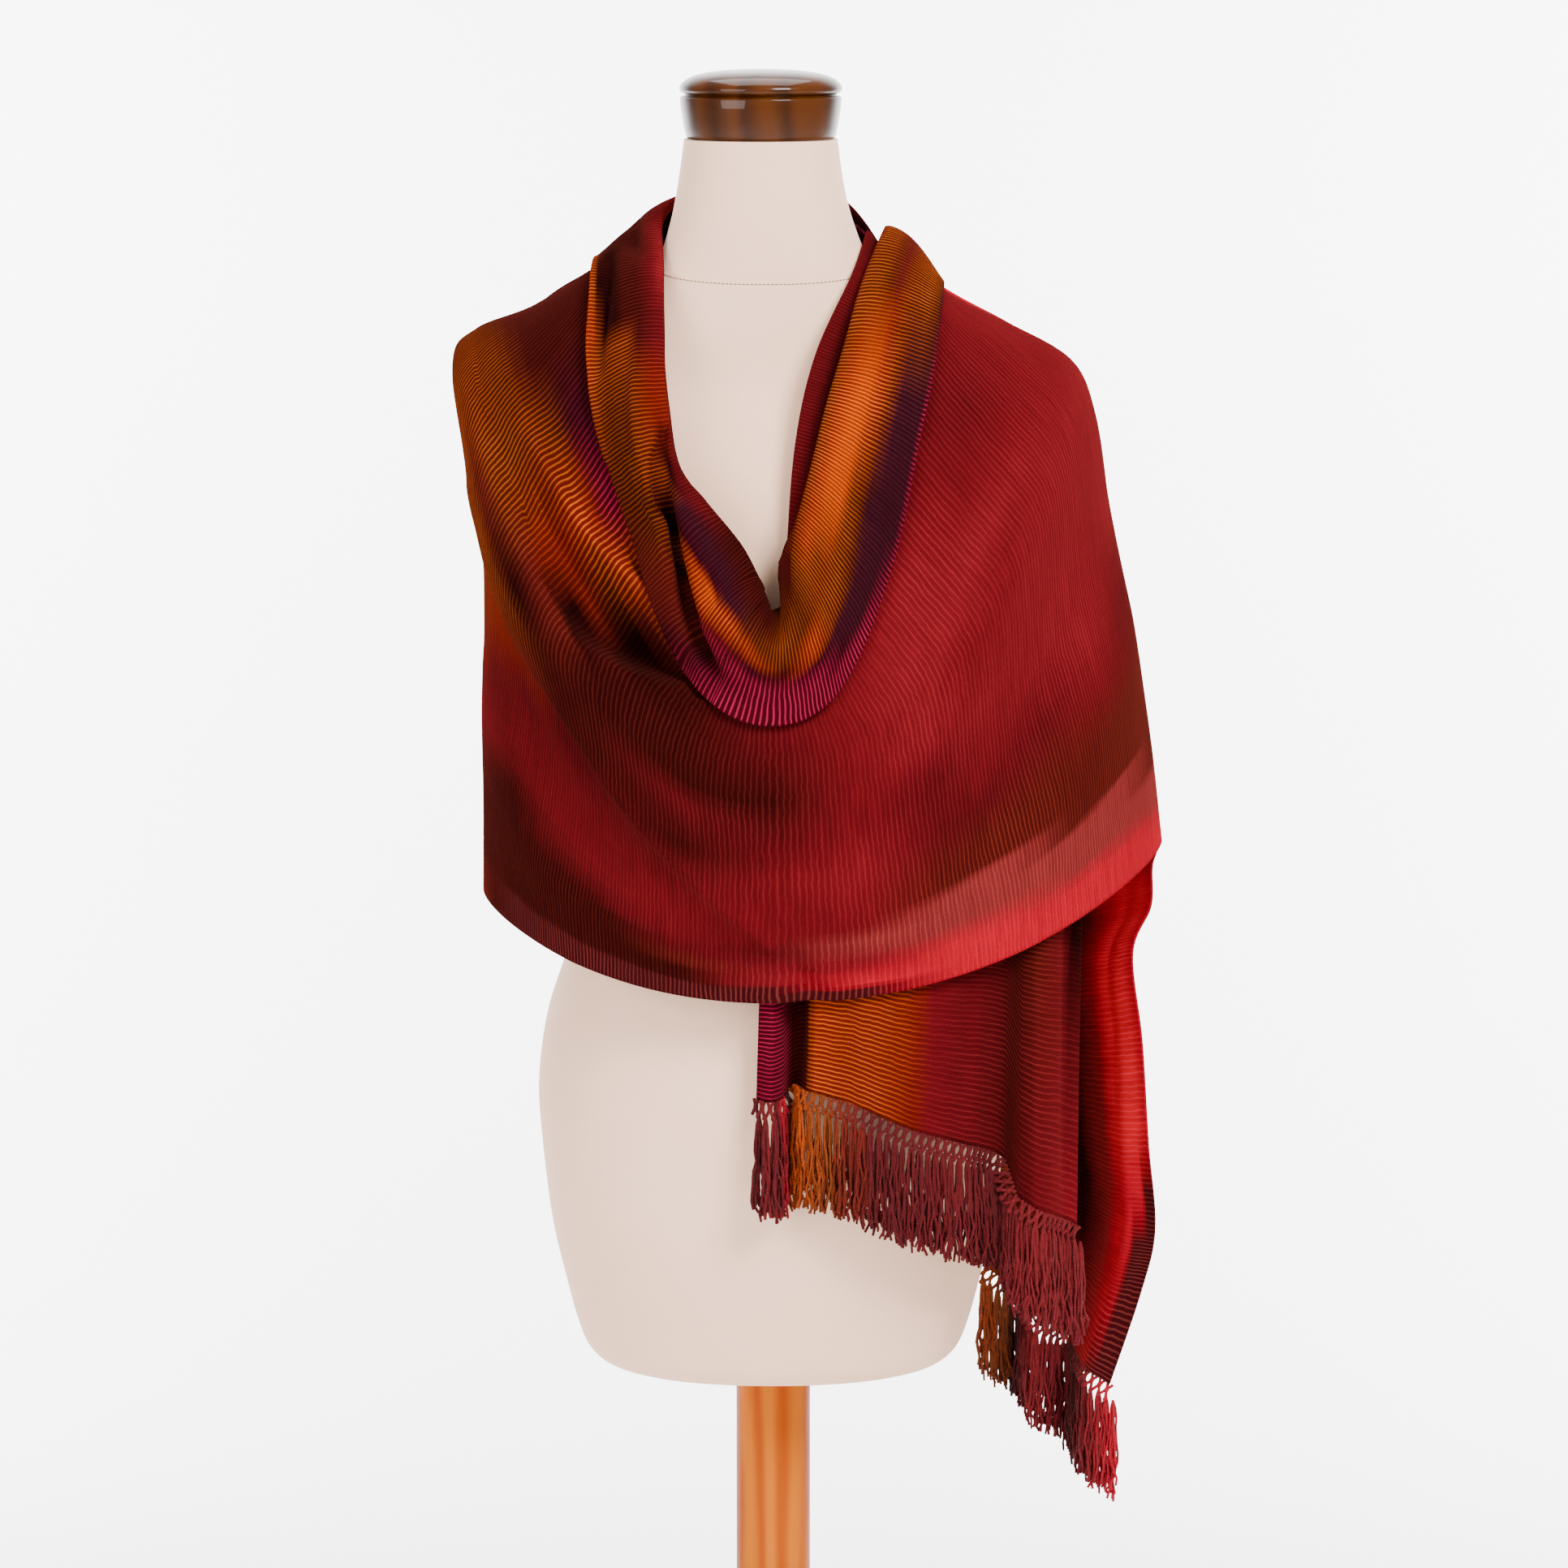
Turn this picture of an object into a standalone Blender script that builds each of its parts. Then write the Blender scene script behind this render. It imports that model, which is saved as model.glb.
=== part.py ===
"""A hand-woven shawl with knotted, fringed ends, wrapped round a dress form on a pole stand.

Units are metres, +Z is up and the front of the form faces -Y, so +X is on the right of
someone who looks at its front. The origin is the centre of the stand's underside.

The shawl is one rectangle of cloth. Its first end hangs at the right front and goes up over
the right shoulder, round the back and over the left shoulder. It crosses the front with its
top edge turned down as a collar, goes over the right shoulder and hangs down the right back.
"""

import math

import bmesh
import bpy
from mathutils import Vector

# Driving dimensions of the stand and the dress form
BASE_RADIUS = 0.175
BASE_THICKNESS = 0.028
POLE_RADIUS = 0.0245
POLE_SOCKET_DEPTH = 0.040
FORM_BOTTOM = 0.660
NECK_TOP = 1.4618
NECK_CENTRE_X = -0.0077
FORM_POWER = 2.0 / 2.3
FORM_SEGMENTS = 26
CAP_RIM_RADIUS = 0.0523
CAP_HEIGHT = 0.0442

# Driving dimensions of the shawl
CLOTH_THICKNESS = 0.0016
SEAM_GAP = 0.0003
LAYER_STEP = 0.0062
FRONT_LAYER_GAP = 0.0045
CAPE_POWER = 2.0 / 2.2
FRINGE_STRIP_HEIGHT = 0.005
STRAND_LENGTH = 0.070
STRANDS_PER_END = 52
STRAND_SWAY = 0.002
STRIP_THICKNESS = 0.0024
FRINGE_GAP = 0.0008
PANEL_GAP = 0.0012
MERGE_DISTANCE = 0.00001
TURNED_STEPS = 32

# Sections of the dress form: height, half width, front depth, back depth, centre x
FORM_SECTIONS = (
    (FORM_BOTTOM, 0.104, 0.080, 0.080, 0.000),
    (0.6640, 0.115, 0.088, 0.088, 0.000),
    (0.6730, 0.1235, 0.094, 0.094, 0.000),
    (0.6900, 0.1300, 0.099, 0.099, 0.000),
    (0.7150, 0.1365, 0.105, 0.105, 0.000),
    (0.7550, 0.1455, 0.112, 0.112, 0.000),
    (0.8050, 0.1516, 0.117, 0.118, 0.000),
    (0.8480, 0.1540, 0.119, 0.120, 0.000),
    (0.8930, 0.1480, 0.115, 0.114, 0.000),
    (0.9330, 0.1350, 0.108, 0.104, 0.000),
    (0.9750, 0.1215, 0.101, 0.093, 0.000),
    (1.0200, 0.1150, 0.097, 0.085, 0.000),
    (1.0700, 0.1200, 0.101, 0.085, 0.000),
    (1.1200, 0.1290, 0.107, 0.089, 0.000),
    (1.1700, 0.1380, 0.110, 0.094, 0.000),
    (1.2100, 0.1440, 0.104, 0.097, 0.000),
    (1.2500, 0.1520, 0.090, 0.097, 0.000),
    (1.2800, 0.1610, 0.073, 0.090, 0.000),
    (1.2980, 0.1660, 0.060, 0.080, 0.000),
    (1.3110, 0.1620, 0.053, 0.070, -0.001),
    (1.3260, 0.1400, 0.050, 0.064, -0.002),
    (1.3450, 0.1080, 0.049, 0.060, -0.003),
    (1.3650, 0.0845, 0.0480, 0.056, -0.005),
    (1.3850, 0.0681, 0.0485, 0.0535, -0.006),
    (1.4080, 0.0590, 0.0490, 0.0515, -0.007),
    (1.4320, 0.0535, 0.0495, 0.0505, NECK_CENTRE_X),
    (NECK_TOP, 0.0492, 0.0492, 0.0492, NECK_CENTRE_X),
)

# Turned profile of the neck cap from its top down: radius and height above its underside
CAP_PROFILE = (
    (0.0000, CAP_HEIGHT),
    (0.0200, 0.0436),
    (0.0360, 0.0418),
    (0.0460, 0.0388),
    (0.0510, 0.0350),
    (CAP_RIM_RADIUS, 0.0320),
    (0.0515, 0.0296),
    (0.0485, 0.0288),
    (0.0485, 0.0276),
    (0.0518, 0.0266),
    (0.0514, 0.0200),
    (0.0496, 0.0080),
    (0.0476, 0.0010),
    (0.0462, 0.0000),
    (0.0000, 0.0000),
)

# Turned profile of the stand's base from its top down: radius and height above the floor
BASE_PROFILE = (
    (0.0000, BASE_THICKNESS),
    (BASE_RADIUS - 0.020, BASE_THICKNESS),
    (BASE_RADIUS - 0.008, BASE_THICKNESS - 0.003),
    (BASE_RADIUS - 0.001, BASE_THICKNESS - 0.010),
    (BASE_RADIUS, 0.006),
    (BASE_RADIUS - 0.004, 0.000),
    (0.0000, 0.000),
)

# Rings of the wrapped cloth from the neck down, half widths and depths from the pole's axis:
# left x, left z, right x, right z, front y, front z, back y, back z
CAPE_RINGS = (
    (0.0760, 1.404, 0.0600, 1.410, 0.122, 1.158, 0.063, 1.420),
    (0.1020, 1.388, 0.1080, 1.366, 0.140, 1.126, 0.086, 1.384),
    (0.1530, 1.356, 0.1540, 1.342, 0.147, 1.102, 0.103, 1.345),
    (0.1920, 1.340, 0.1930, 1.320, 0.152, 1.080, 0.114, 1.300),
    (0.2060, 1.317, 0.2080, 1.285, 0.155, 1.056, 0.122, 1.245),
    (0.1930, 1.238, 0.2200, 1.220, 0.156, 1.026, 0.127, 1.180),
    (0.1885, 1.155, 0.2340, 1.148, 0.155, 0.996, 0.130, 1.110),
    (0.1885, 1.070, 0.2460, 1.075, 0.152, 0.962, 0.132, 1.045),
    (0.1895, 0.976, 0.2540, 1.008, 0.148, 0.927, 0.133, 0.982),
)
HEM_RING = len(CAPE_RINGS) - 1
SIDE_SEAM = math.radians(95.0)
FRONT_TOP_RING = 0.70

# Folds of the front panel as seen from the front, each a soft line through three places:
# x, z at the start, middle and end, width above and below the line, height (below zero for a
# trough)
FRONT_FOLDS = (
    (-0.185, 1.300, -0.166, 1.192, -0.064, 1.125, 0.010, 0.026, 0.010),
    (-0.152, 1.217, -0.128, 1.137, -0.064, 1.124, 0.008, 0.024, 0.014),
    (-0.142, 1.227, -0.106, 1.142, -0.052, 1.141, 0.018, 0.009, -0.015),
    (-0.165, 1.310, -0.138, 1.222, -0.078, 1.187, 0.009, 0.014, 0.009),
    (-0.148, 1.315, -0.115, 1.236, -0.070, 1.200, 0.010, 0.008, -0.006),
    (-0.178, 1.300, -0.154, 1.230, -0.115, 1.180, 0.010, 0.010, -0.007),
    (-0.190, 1.244, -0.152, 1.134, -0.075, 1.035, 0.022, 0.009, 0.007),
    (-0.110, 1.075, -0.035, 0.985, 0.020, 0.948, 0.020, 0.012, 0.006),
    (-0.187, 1.215, -0.174, 1.102, -0.105, 1.020, 0.012, 0.016, -0.006),
    (-0.186, 1.120, -0.165, 1.030, -0.120, 0.965, 0.016, 0.018, 0.006),
    (-0.060, 1.085, 0.010, 1.000, 0.080, 0.960, 0.024, 0.020, 0.005),
    (0.190, 1.285, 0.135, 1.170, 0.095, 1.080, 0.020, 0.022, 0.007),
    (0.205, 1.230, 0.165, 1.110, 0.120, 1.000, 0.022, 0.024, -0.007),
    (0.225, 1.150, 0.190, 1.060, 0.150, 0.975, 0.022, 0.022, 0.006),
    (0.022, 0.950, 0.020, 0.935, 0.018, 0.915, 0.008, 0.012, -0.004),
)

# Folds across the back, also as seen from the front, in the same columns
BACK_FOLDS = (
    (-0.160, 1.310, -0.050, 1.220, 0.090, 1.190, 0.020, 0.026, 0.008),
    (-0.175, 1.240, -0.070, 1.130, 0.070, 1.090, 0.022, 0.022, -0.007),
    (-0.180, 1.120, -0.060, 1.030, 0.060, 1.000, 0.024, 0.024, 0.007),
    (-0.120, 1.330, -0.030, 1.290, 0.060, 1.285, 0.012, 0.016, 0.004),
)

# The collar from the back of the neck to the right shoulder. Columns: inner edge x, y, z,
# angle and ring of its outer edge on the cape, height of its roll, depth of its inner leg,
# place and depth of the groove beside the left lapel
COLLAR_SECTIONS = (
    (0.0430, 0.0560, 1.422, -222.0, 0.90, 0.004, 0.002, 0.10, 0.000),
    (0.0050, 0.0680, 1.428, -180.0, 0.95, 0.005, 0.003, 0.10, 0.000),
    (-0.0420, 0.0570, 1.427, -138.0, 1.00, 0.005, 0.003, 0.10, 0.000),
    (-0.0690, 0.0150, 1.417, -102.0, 1.12, 0.005, 0.005, 0.10, 0.000),
    (-0.0690, -0.0400, 1.380, -77.0, 1.30, 0.007, 0.007, 0.10, 0.000),
    (-0.0680, -0.0730, 1.344, -65.0, 1.48, 0.009, 0.010, 0.10, 0.000),
    (-0.0665, -0.1050, 1.305, -55.0, 1.58, 0.011, 0.012, 0.10, 0.003),
    (-0.0600, -0.1220, 1.266, -46.0, 1.60, 0.013, 0.012, 0.16, 0.008),
    (-0.0420, -0.1260, 1.243, -37.0, 1.62, 0.015, 0.012, 0.46, 0.013),
    (-0.0180, -0.1350, 1.214, -28.0, 1.75, 0.017, 0.012, 0.70, 0.010),
    (-0.0045, -0.1450, 1.187, -16.0, 1.90, 0.015, 0.010, 0.76, 0.004),
    (0.0040, -0.1520, 1.166, 0.0, 1.98, 0.011, 0.008, 0.80, 0.001),
    (0.0115, -0.1500, 1.187, 11.0, 1.85, 0.012, 0.007, 0.50, 0.000),
    (0.0120, -0.1420, 1.211, 20.0, 1.60, 0.013, 0.006, 0.50, 0.000),
    (0.0165, -0.1330, 1.236, 29.0, 1.40, 0.012, 0.006, 0.50, 0.000),
    (0.0240, -0.1200, 1.264, 39.0, 1.27, 0.010, 0.006, 0.50, 0.000),
    (0.0330, -0.1050, 1.299, 51.0, 1.12, 0.009, 0.006, 0.50, 0.000),
    (0.0440, -0.0850, 1.334, 64.0, 1.07, 0.008, 0.005, 0.50, 0.000),
    (0.0560, -0.0545, 1.373, 77.0, 1.00, 0.007, 0.004, 0.50, 0.000),
    (0.0710, -0.0085, 1.405, 92.0, 0.97, 0.006, 0.003, 0.50, 0.000),
    (0.0730, 0.0330, 1.400, 114.0, 0.92, 0.006, 0.002, 0.50, 0.000),
)
COLLAR_LIFT = 0.0056

# The front end from the shoulder down: left edge x, y, z, right edge x, y, z, bulge y, z,
# share of the pleats that shows
END_A_FREE_BELOW = 0.935
END_A_SECTIONS = (
    (0.0612, -0.002, 1.4040, 0.186, -0.002, 1.3130, 0.000, -0.012, 0.00),
    (0.0512, -0.0405, 1.3800, 0.190, -0.026, 1.2950, -0.008, -0.004, 0.00),
    (0.0270, -0.0740, 1.3300, 0.196, -0.046, 1.2550, -0.008, 0.002, 0.05),
    (0.0140, -0.0990, 1.2750, 0.200, -0.060, 1.2050, -0.010, 0.002, 0.10),
    (0.0080, -0.1220, 1.2000, 0.205, -0.068, 1.1400, -0.014, 0.002, 0.15),
    (0.0030, -0.1270, 1.1200, 0.206, -0.074, 1.0700, -0.020, 0.000, 0.20),
    (-0.0030, -0.1290, 1.0300, 0.199, -0.080, 0.9900, -0.024, 0.000, 0.35),
    (-0.0080, -0.1320, 0.9400, 0.197, -0.086, 0.8950, -0.020, 0.000, 0.75),
    (-0.0105, -0.1330, 0.8625, 0.196, -0.092, 0.7695, -0.018, 0.000, 1.00),
)

# Pleats of the front end across its width: place, half width, outward height
END_A_PLEATS = (
    (0.040, 0.045, 0.010),
    (0.100, 0.030, -0.016),
    (0.420, 0.160, 0.006),
    (0.740, 0.055, -0.012),
    (0.880, 0.060, 0.014),
)

# Height of the front end's lower edge above the straight line between its corners:
# place across the width, height
END_A_EDGE = (
    (0.00, 0.000),
    (0.08, 0.006),
    (0.12, 0.018),
    (0.29, 0.025),
    (0.48, 0.024),
    (0.68, 0.028),
    (0.77, 0.026),
    (0.81, 0.006),
    (0.91, 0.004),
    (1.00, 0.000),
)

# The back end below the hem: right edge x, y, z, left edge x, y, z, bulge y, pleat share
END_B_SECTIONS = (
    (0.2500, 0.020, 0.985, 0.092, 0.130, 0.930, 0.024, 0.10),
    (0.2500, 0.028, 0.957, 0.100, 0.128, 0.895, 0.024, 0.25),
    (0.2385, 0.030, 0.925, 0.108, 0.125, 0.865, 0.022, 0.45),
    (0.2455, 0.030, 0.865, 0.116, 0.121, 0.825, 0.020, 0.70),
    (0.2505, 0.031, 0.795, 0.124, 0.115, 0.785, 0.018, 0.90),
    (0.2555, 0.033, 0.738, 0.132, 0.108, 0.745, 0.016, 1.00),
    (0.2470, 0.035, 0.695, 0.137, 0.104, 0.720, 0.014, 1.00),
    (0.2262, 0.036, 0.630, 0.141, 0.100, 0.698, 0.012, 1.00),
)

# Pleats of the back end across its width: place, half width, height away from the body
END_B_PLEATS = (
    (0.130, 0.090, -0.012),
    (0.360, 0.080, 0.012),
    (0.550, 0.080, -0.008),
    (0.760, 0.070, 0.012),
)
END_B_INNER_ANGLE = math.radians(162.0)

# Triangle budget: cells along and across each panel
FRONT_CELLS = (40, 24)
BACK_CELLS = (22, 14)
COLLAR_CELLS = (50, 8)
END_A_CELLS = (20, 20)
END_B_CELLS = (16, 24)

COLLECTION = "chenille_shawl"
CUTTERS = "cutters"


def clear_scene():
    """Empty the file of objects and of the collections that a former run left."""
    for thing in list(bpy.data.objects):
        bpy.data.objects.remove(thing, do_unlink=True)
    for group in list(bpy.data.collections):
        bpy.data.collections.remove(group)


def new_collection(name):
    group = bpy.data.collections.new(name)
    bpy.context.scene.collection.children.link(group)
    return group


def new_material(name, colour, roughness, metallic=0.0):
    """A Principled material with a linear colour."""
    material = bpy.data.materials.new(name)
    material.use_nodes = True
    shader = material.node_tree.nodes["Principled BSDF"]
    shader.inputs["Base Color"].default_value = (*colour, 1.0)
    shader.inputs["Roughness"].default_value = roughness
    shader.inputs["Metallic"].default_value = metallic
    material.diffuse_color = (*colour, 1.0)
    return material


def glide(values, place):
    """The value at a place along a list, on a smooth curve through every entry."""
    last = len(values) - 1
    place = min(max(place, 0.0), float(last))
    index = min(int(place), last - 1)
    step = place - index
    here, after = values[index], values[index + 1]
    before = values[index - 1] if index > 0 else here * 2.0 - after
    beyond = values[index + 2] if index + 2 <= last else after * 2.0 - here
    slope = after - before
    bend = before * 2.0 - here * 5.0 + after * 4.0 - beyond
    twist = here * 3.0 - before - after * 3.0 + beyond
    return (here * 2.0 + slope * step + bend * step ** 2 + twist * step ** 3) * 0.5


def straight(table, place):
    """The value at a place in a table of place and value pairs, by straight lines."""
    for (start, low), (end, high) in zip(table, table[1:]):
        if place <= end:
            return low + (high - low) * max(place - start, 0.0) / (end - start)
    return table[-1][1]


def bump(distance, width):
    """A soft hump of height one."""
    return math.exp(-(distance / width) ** 2)


def column(table, number):
    return [row[number] for row in table]


CAPE_COLUMNS = [column(CAPE_RINGS, number) for number in range(len(CAPE_RINGS[0]))]


def cape_ring(angle, ring):
    """The plain surface of the wrapped cloth, at an angle from the front and a ring."""
    side, fore = math.sin(angle), math.cos(angle)
    width_column, depth_column = (2 if side > 0.0 else 0), (4 if fore > 0.0 else 6)
    half_width = glide(CAPE_COLUMNS[width_column], ring)
    side_z = glide(CAPE_COLUMNS[width_column + 1], ring)
    depth = glide(CAPE_COLUMNS[depth_column], ring)
    end_z = glide(CAPE_COLUMNS[depth_column + 1], ring)
    return Vector((
        math.copysign(half_width * abs(side) ** CAPE_POWER, side),
        -math.copysign(depth * abs(fore) ** CAPE_POWER, fore),
        end_z * fore * fore + side_z * side * side,
    ))


def cape_normal(angle, ring):
    """The outward direction of the plain surface."""
    turn, drop = 0.02, 0.10
    low, high = max(ring - drop, 0.0), min(ring + drop, float(HEM_RING))
    across = cape_ring(angle + turn, ring) - cape_ring(angle - turn, ring)
    down = cape_ring(angle, high) - cape_ring(angle, low)
    return down.cross(across).normalized()


def fold_height(folds, x, z):
    """Sum of the folds of a table at a place seen from the front."""
    total = 0.0
    pieces = 8
    for x0, z0, x1, z1, x2, z2, above, below, height in folds:
        nearest, along, side = 1.0, 0.0, 1.0
        for piece in range(pieces):
            ends = []
            for step in (piece / pieces, (piece + 1) / pieces):
                keep, middle, move = (1 - step) ** 2, 2 * step * (1 - step), step ** 2
                ends.append((keep * x0 + middle * x1 + move * x2,
                             keep * z0 + middle * z1 + move * z2))
            (ax, az), (bx, bz) = ends
            dx, dz = bx - ax, bz - az
            share = ((x - ax) * dx + (z - az) * dz) / (dx * dx + dz * dz)
            share = min(max(share, 0.0), 1.0)
            gap = math.hypot(x - ax - share * dx, z - az - share * dz)
            if gap < nearest:
                nearest, along = gap, (piece + share) / pieces
                side = (dx * (z - az) - dz * (x - ax)) * dx
        width = above if side > 0.0 else below
        total += height * bump(nearest, width) * math.sin(math.pi * (0.15 + 0.70 * along))
    return total


def front_point(angle, ring, out=0.0):
    """A point of the front panel, with its folds, and an optional distance outwards."""
    place = cape_ring(angle, ring)
    fade = max(math.cos(angle * math.pi / 2.0 / SIDE_SEAM), 0.0) ** 0.5
    height = fold_height(FRONT_FOLDS, place.x, place.z) * fade
    return place + cape_normal(angle, ring) * (height + out)


def add_object(name, mesh, material, collection):
    piece = bpy.data.objects.new(name, mesh)
    mesh.materials.append(material)
    collection.objects.link(piece)
    return piece


def cloth_sheet(name, cells, point, material, collection):
    """A panel of cloth: point(u, v) gives its outer face, and the thickness lies inside it."""
    across, down = cells
    mesh = bpy.data.meshes.new(name)
    shape = bmesh.new()
    grid = [[shape.verts.new(point(left / across, row / down)) for row in range(down + 1)]
            for left in range(across + 1)]
    for left in range(across):
        for row in range(down):
            shape.faces.new((grid[left][row], grid[left][row + 1],
                             grid[left + 1][row + 1], grid[left + 1][row]))
    shape.normal_update()
    shape.to_mesh(mesh)
    shape.free()
    mesh.shade_smooth()
    piece = add_object(name, mesh, material, collection)
    thick = piece.modifiers.new("cloth thickness", "SOLIDIFY")
    thick.thickness = CLOTH_THICKNESS
    thick.offset = -1.0
    return piece


def front_panel(material, collection):
    """The front, from the left side to the right side, from under the collar to the hem."""
    turn = 2.0 * SIDE_SEAM
    top, drop = FRONT_TOP_RING, HEM_RING - FRONT_TOP_RING

    def point(u, v):
        return front_point(-SIDE_SEAM + turn * u, top + drop * v)

    cloth_sheet("front_panel", FRONT_CELLS, point, material, collection)


def back_point(angle, ring, inset):
    """A point across the back, counted from the left side seam round to the right."""
    place = cape_ring(angle, ring)
    height = fold_height(BACK_FOLDS, place.x, place.z) if place.y > 0.0 else 0.0
    fade = max(-math.cos(angle), 0.0)
    return place + cape_normal(angle, ring) * (height * fade - inset)


def back_wrap(material, collection):
    """The back, from the left side seam round to the right shoulder, under the back end."""
    gap = PANEL_GAP / CAPE_RINGS[HEM_RING][0]
    turn = 2.0 * (math.pi - SIDE_SEAM) - gap

    def point(u, v):
        share = 1.0 - u
        inset = LAYER_STEP * min(share * 2.5, 1.0)
        return back_point(-(SIDE_SEAM + gap + turn * share), v * HEM_RING, inset)

    cloth_sheet("back_wrap", BACK_CELLS, point, material, collection)


def collar_frame(place):
    """Inner edge, outer edge and outward direction of the collar at a place along it."""
    def edges(spot):
        inner = Vector([glide(column(COLLAR_SECTIONS, axis), spot) for axis in range(3)])
        return inner, collar_outer(spot)

    inner, outer = edges(place)
    step = 0.05
    inner_before, outer_before = edges(max(place - step, 0.0))
    inner_after, outer_after = edges(min(place + step, len(COLLAR_SECTIONS) - 1.0))
    forward = (inner_after + outer_after) - (inner_before + outer_before)
    across = outer - inner
    return inner, outer, across.cross(forward).normalized()


def collar_outer(place):
    """The collar's outer edge, just above the panel that it lies on."""
    angle = math.radians(glide(column(COLLAR_SECTIONS, 3), place))
    ring = glide(column(COLLAR_SECTIONS, 4), place)
    if math.cos(angle) > 0.0:
        return front_point(angle, ring, COLLAR_LIFT)
    return cape_ring(angle, ring) + cape_normal(angle, ring) * COLLAR_LIFT


def collar_point(u, v):
    """The turned-down band: an inner leg, a rounded crest, and the lapel down to its edge."""
    place = u * (len(COLLAR_SECTIONS) - 1)
    inner, outer, outwards = collar_frame(place)
    lift, leg, groove_place, groove_depth = (
        glide(column(COLLAR_SECTIONS, number), place) for number in (5, 6, 7, 8))
    across = outer - inner
    crest_share = 0.22
    if v < crest_share:
        turn = 1.0 - v / crest_share
        sideways = across.normalized() * (0.0035 * turn)
        return inner + sideways - outwards * (leg * turn)
    share = (v - crest_share) / (1.0 - crest_share)
    roll = lift * math.sin(math.pi * share ** 0.70)
    groove = groove_depth * bump(share - groove_place, 0.11)
    return inner + across * share + outwards * (roll - groove)


def collar(material, collection):
    cloth_sheet("collar", COLLAR_CELLS, collar_point, material, collection)


def front_depth(x, z):
    """How far forward the front panel's inner face lies at a place seen from the front."""
    low, high = 0.0, float(HEM_RING)
    found = None
    for _ in range(14):
        ring = 0.5 * (low + high)
        half_width = glide(CAPE_COLUMNS[2], ring)
        side = (min(max(x, 0.0) / half_width, 1.0)) ** (1.0 / CAPE_POWER)
        height = cape_ring(math.asin(side), ring).z
        if height > z:
            low = ring
        else:
            high = ring
        found = (math.asin(side), ring, height)
    angle, ring, height = found
    if abs(height - z) > 0.004 or angle > 1.5:
        return None
    return front_point(angle, ring).y + CLOTH_THICKNESS


def end_a_point(u, v):
    """The front end: u runs across from its left edge, v down from the shoulder."""
    place = v * (len(END_A_SECTIONS) - 1)
    row = [glide(column(END_A_SECTIONS, number), place) for number in range(9)]
    left, right = Vector(row[0:3]), Vector(row[3:6])
    arch = 4.0 * u * (1.0 - u)
    spot = left.lerp(right, u) + Vector((0.0, row[6], row[7])) * arch
    pleat = sum(height * bump(u - middle, width) for middle, width, height in END_A_PLEATS)
    spot.y -= pleat * row[8]
    spot.z += straight(END_A_EDGE, u) * row[8]
    limit = front_depth(spot.x, spot.z) if spot.z > END_A_FREE_BELOW else None
    if limit is not None:
        spot.y = max(spot.y, limit + FRONT_LAYER_GAP)
    return spot


def end_a(material, collection):
    cloth_sheet("end_a", END_A_CELLS, end_a_point, material, collection)


def end_b_point(u, v):
    """The back end: u runs from its right edge to its inner edge, v down from the shoulder."""
    free_rows = len(END_B_SECTIONS)
    place = v * (HEM_RING + free_rows)
    if place <= HEM_RING:
        return end_b_upper(u, place)
    start = end_b_upper(u, HEM_RING - 1.0), end_b_upper(u, float(HEM_RING))
    spots = list(start) + [end_b_lower(u, row) for row in END_B_SECTIONS]
    return glide(spots, 1.0 + place - HEM_RING)


def end_b_upper(u, ring):
    """The back end above the hem, on the cape's own surface outside the back."""
    gap = PANEL_GAP / CAPE_RINGS[HEM_RING][2]
    angle = SIDE_SEAM + gap + (END_B_INNER_ANGLE - SIDE_SEAM) * u
    ring = max(ring, 0.9)
    return cape_ring(angle, ring) + cape_normal(angle, ring) * (0.004 * math.sin(math.pi * u))


def end_b_lower(u, row):
    right, left = Vector(row[0:3]), Vector(row[3:6])
    pleat = sum(height * bump(u - middle, width) for middle, width, height in END_B_PLEATS)
    spot = right.lerp(left, u)
    spot.y += row[6] * 4.0 * u * (1.0 - u) + pleat * row[7]
    spot.x += pleat * row[7] * 0.3
    return spot


def end_b(material, collection):
    cloth_sheet("end_b", END_B_CELLS, end_b_point, material, collection)


def fringe(name, edge, material, collection):
    """A fringe: a narrow strip below an end's edge whose cells grow into free strands.

    edge(u) gives a point of the lower edge and the outward direction there.
    """
    mesh = bpy.data.meshes.new(name)
    shape = bmesh.new()
    cells = 2 * STRANDS_PER_END - 1
    lines = []
    for number in range(cells + 1):
        spot, outwards = edge(number / cells)
        back = spot - outwards * STRIP_THICKNESS
        fall = Vector((0.0, 0.0, -FRINGE_STRIP_HEIGHT))
        lines.append([shape.verts.new(corner) for corner in
                      (spot, back, back + fall, spot + fall)])
    for number in range(cells):
        left, right = lines[number], lines[number + 1]
        for side in (0, 1, 3):
            after = (side + 1) % 4
            shape.faces.new((left[side], left[after], right[after], right[side]))
        if number % 2:
            shape.faces.new((left[2], left[3], right[3], right[2]))
            continue
        mouth = [left[2], left[3], right[3], right[2]]
        sway = STRAND_SWAY * math.sin(number * 2.4)
        for share in (0.4, 1.0):
            drop = Vector((sway * share * share, 0.0, -STRAND_LENGTH * share))
            ring = [shape.verts.new(corner.co + drop) for corner in
                    (left[2], left[3], right[3], right[2])]
            for side in range(4):
                after = (side + 1) % 4
                shape.faces.new((mouth[side], mouth[after], ring[after], ring[side]))
            mouth = ring
        shape.faces.new(mouth)
    for line, order in ((lines[0], 1), (lines[-1], -1)):
        shape.faces.new(line[::order])
    bmesh.ops.recalc_face_normals(shape, faces=shape.faces)
    shape.to_mesh(mesh)
    shape.free()
    add_object(name, mesh, material, collection)


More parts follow.
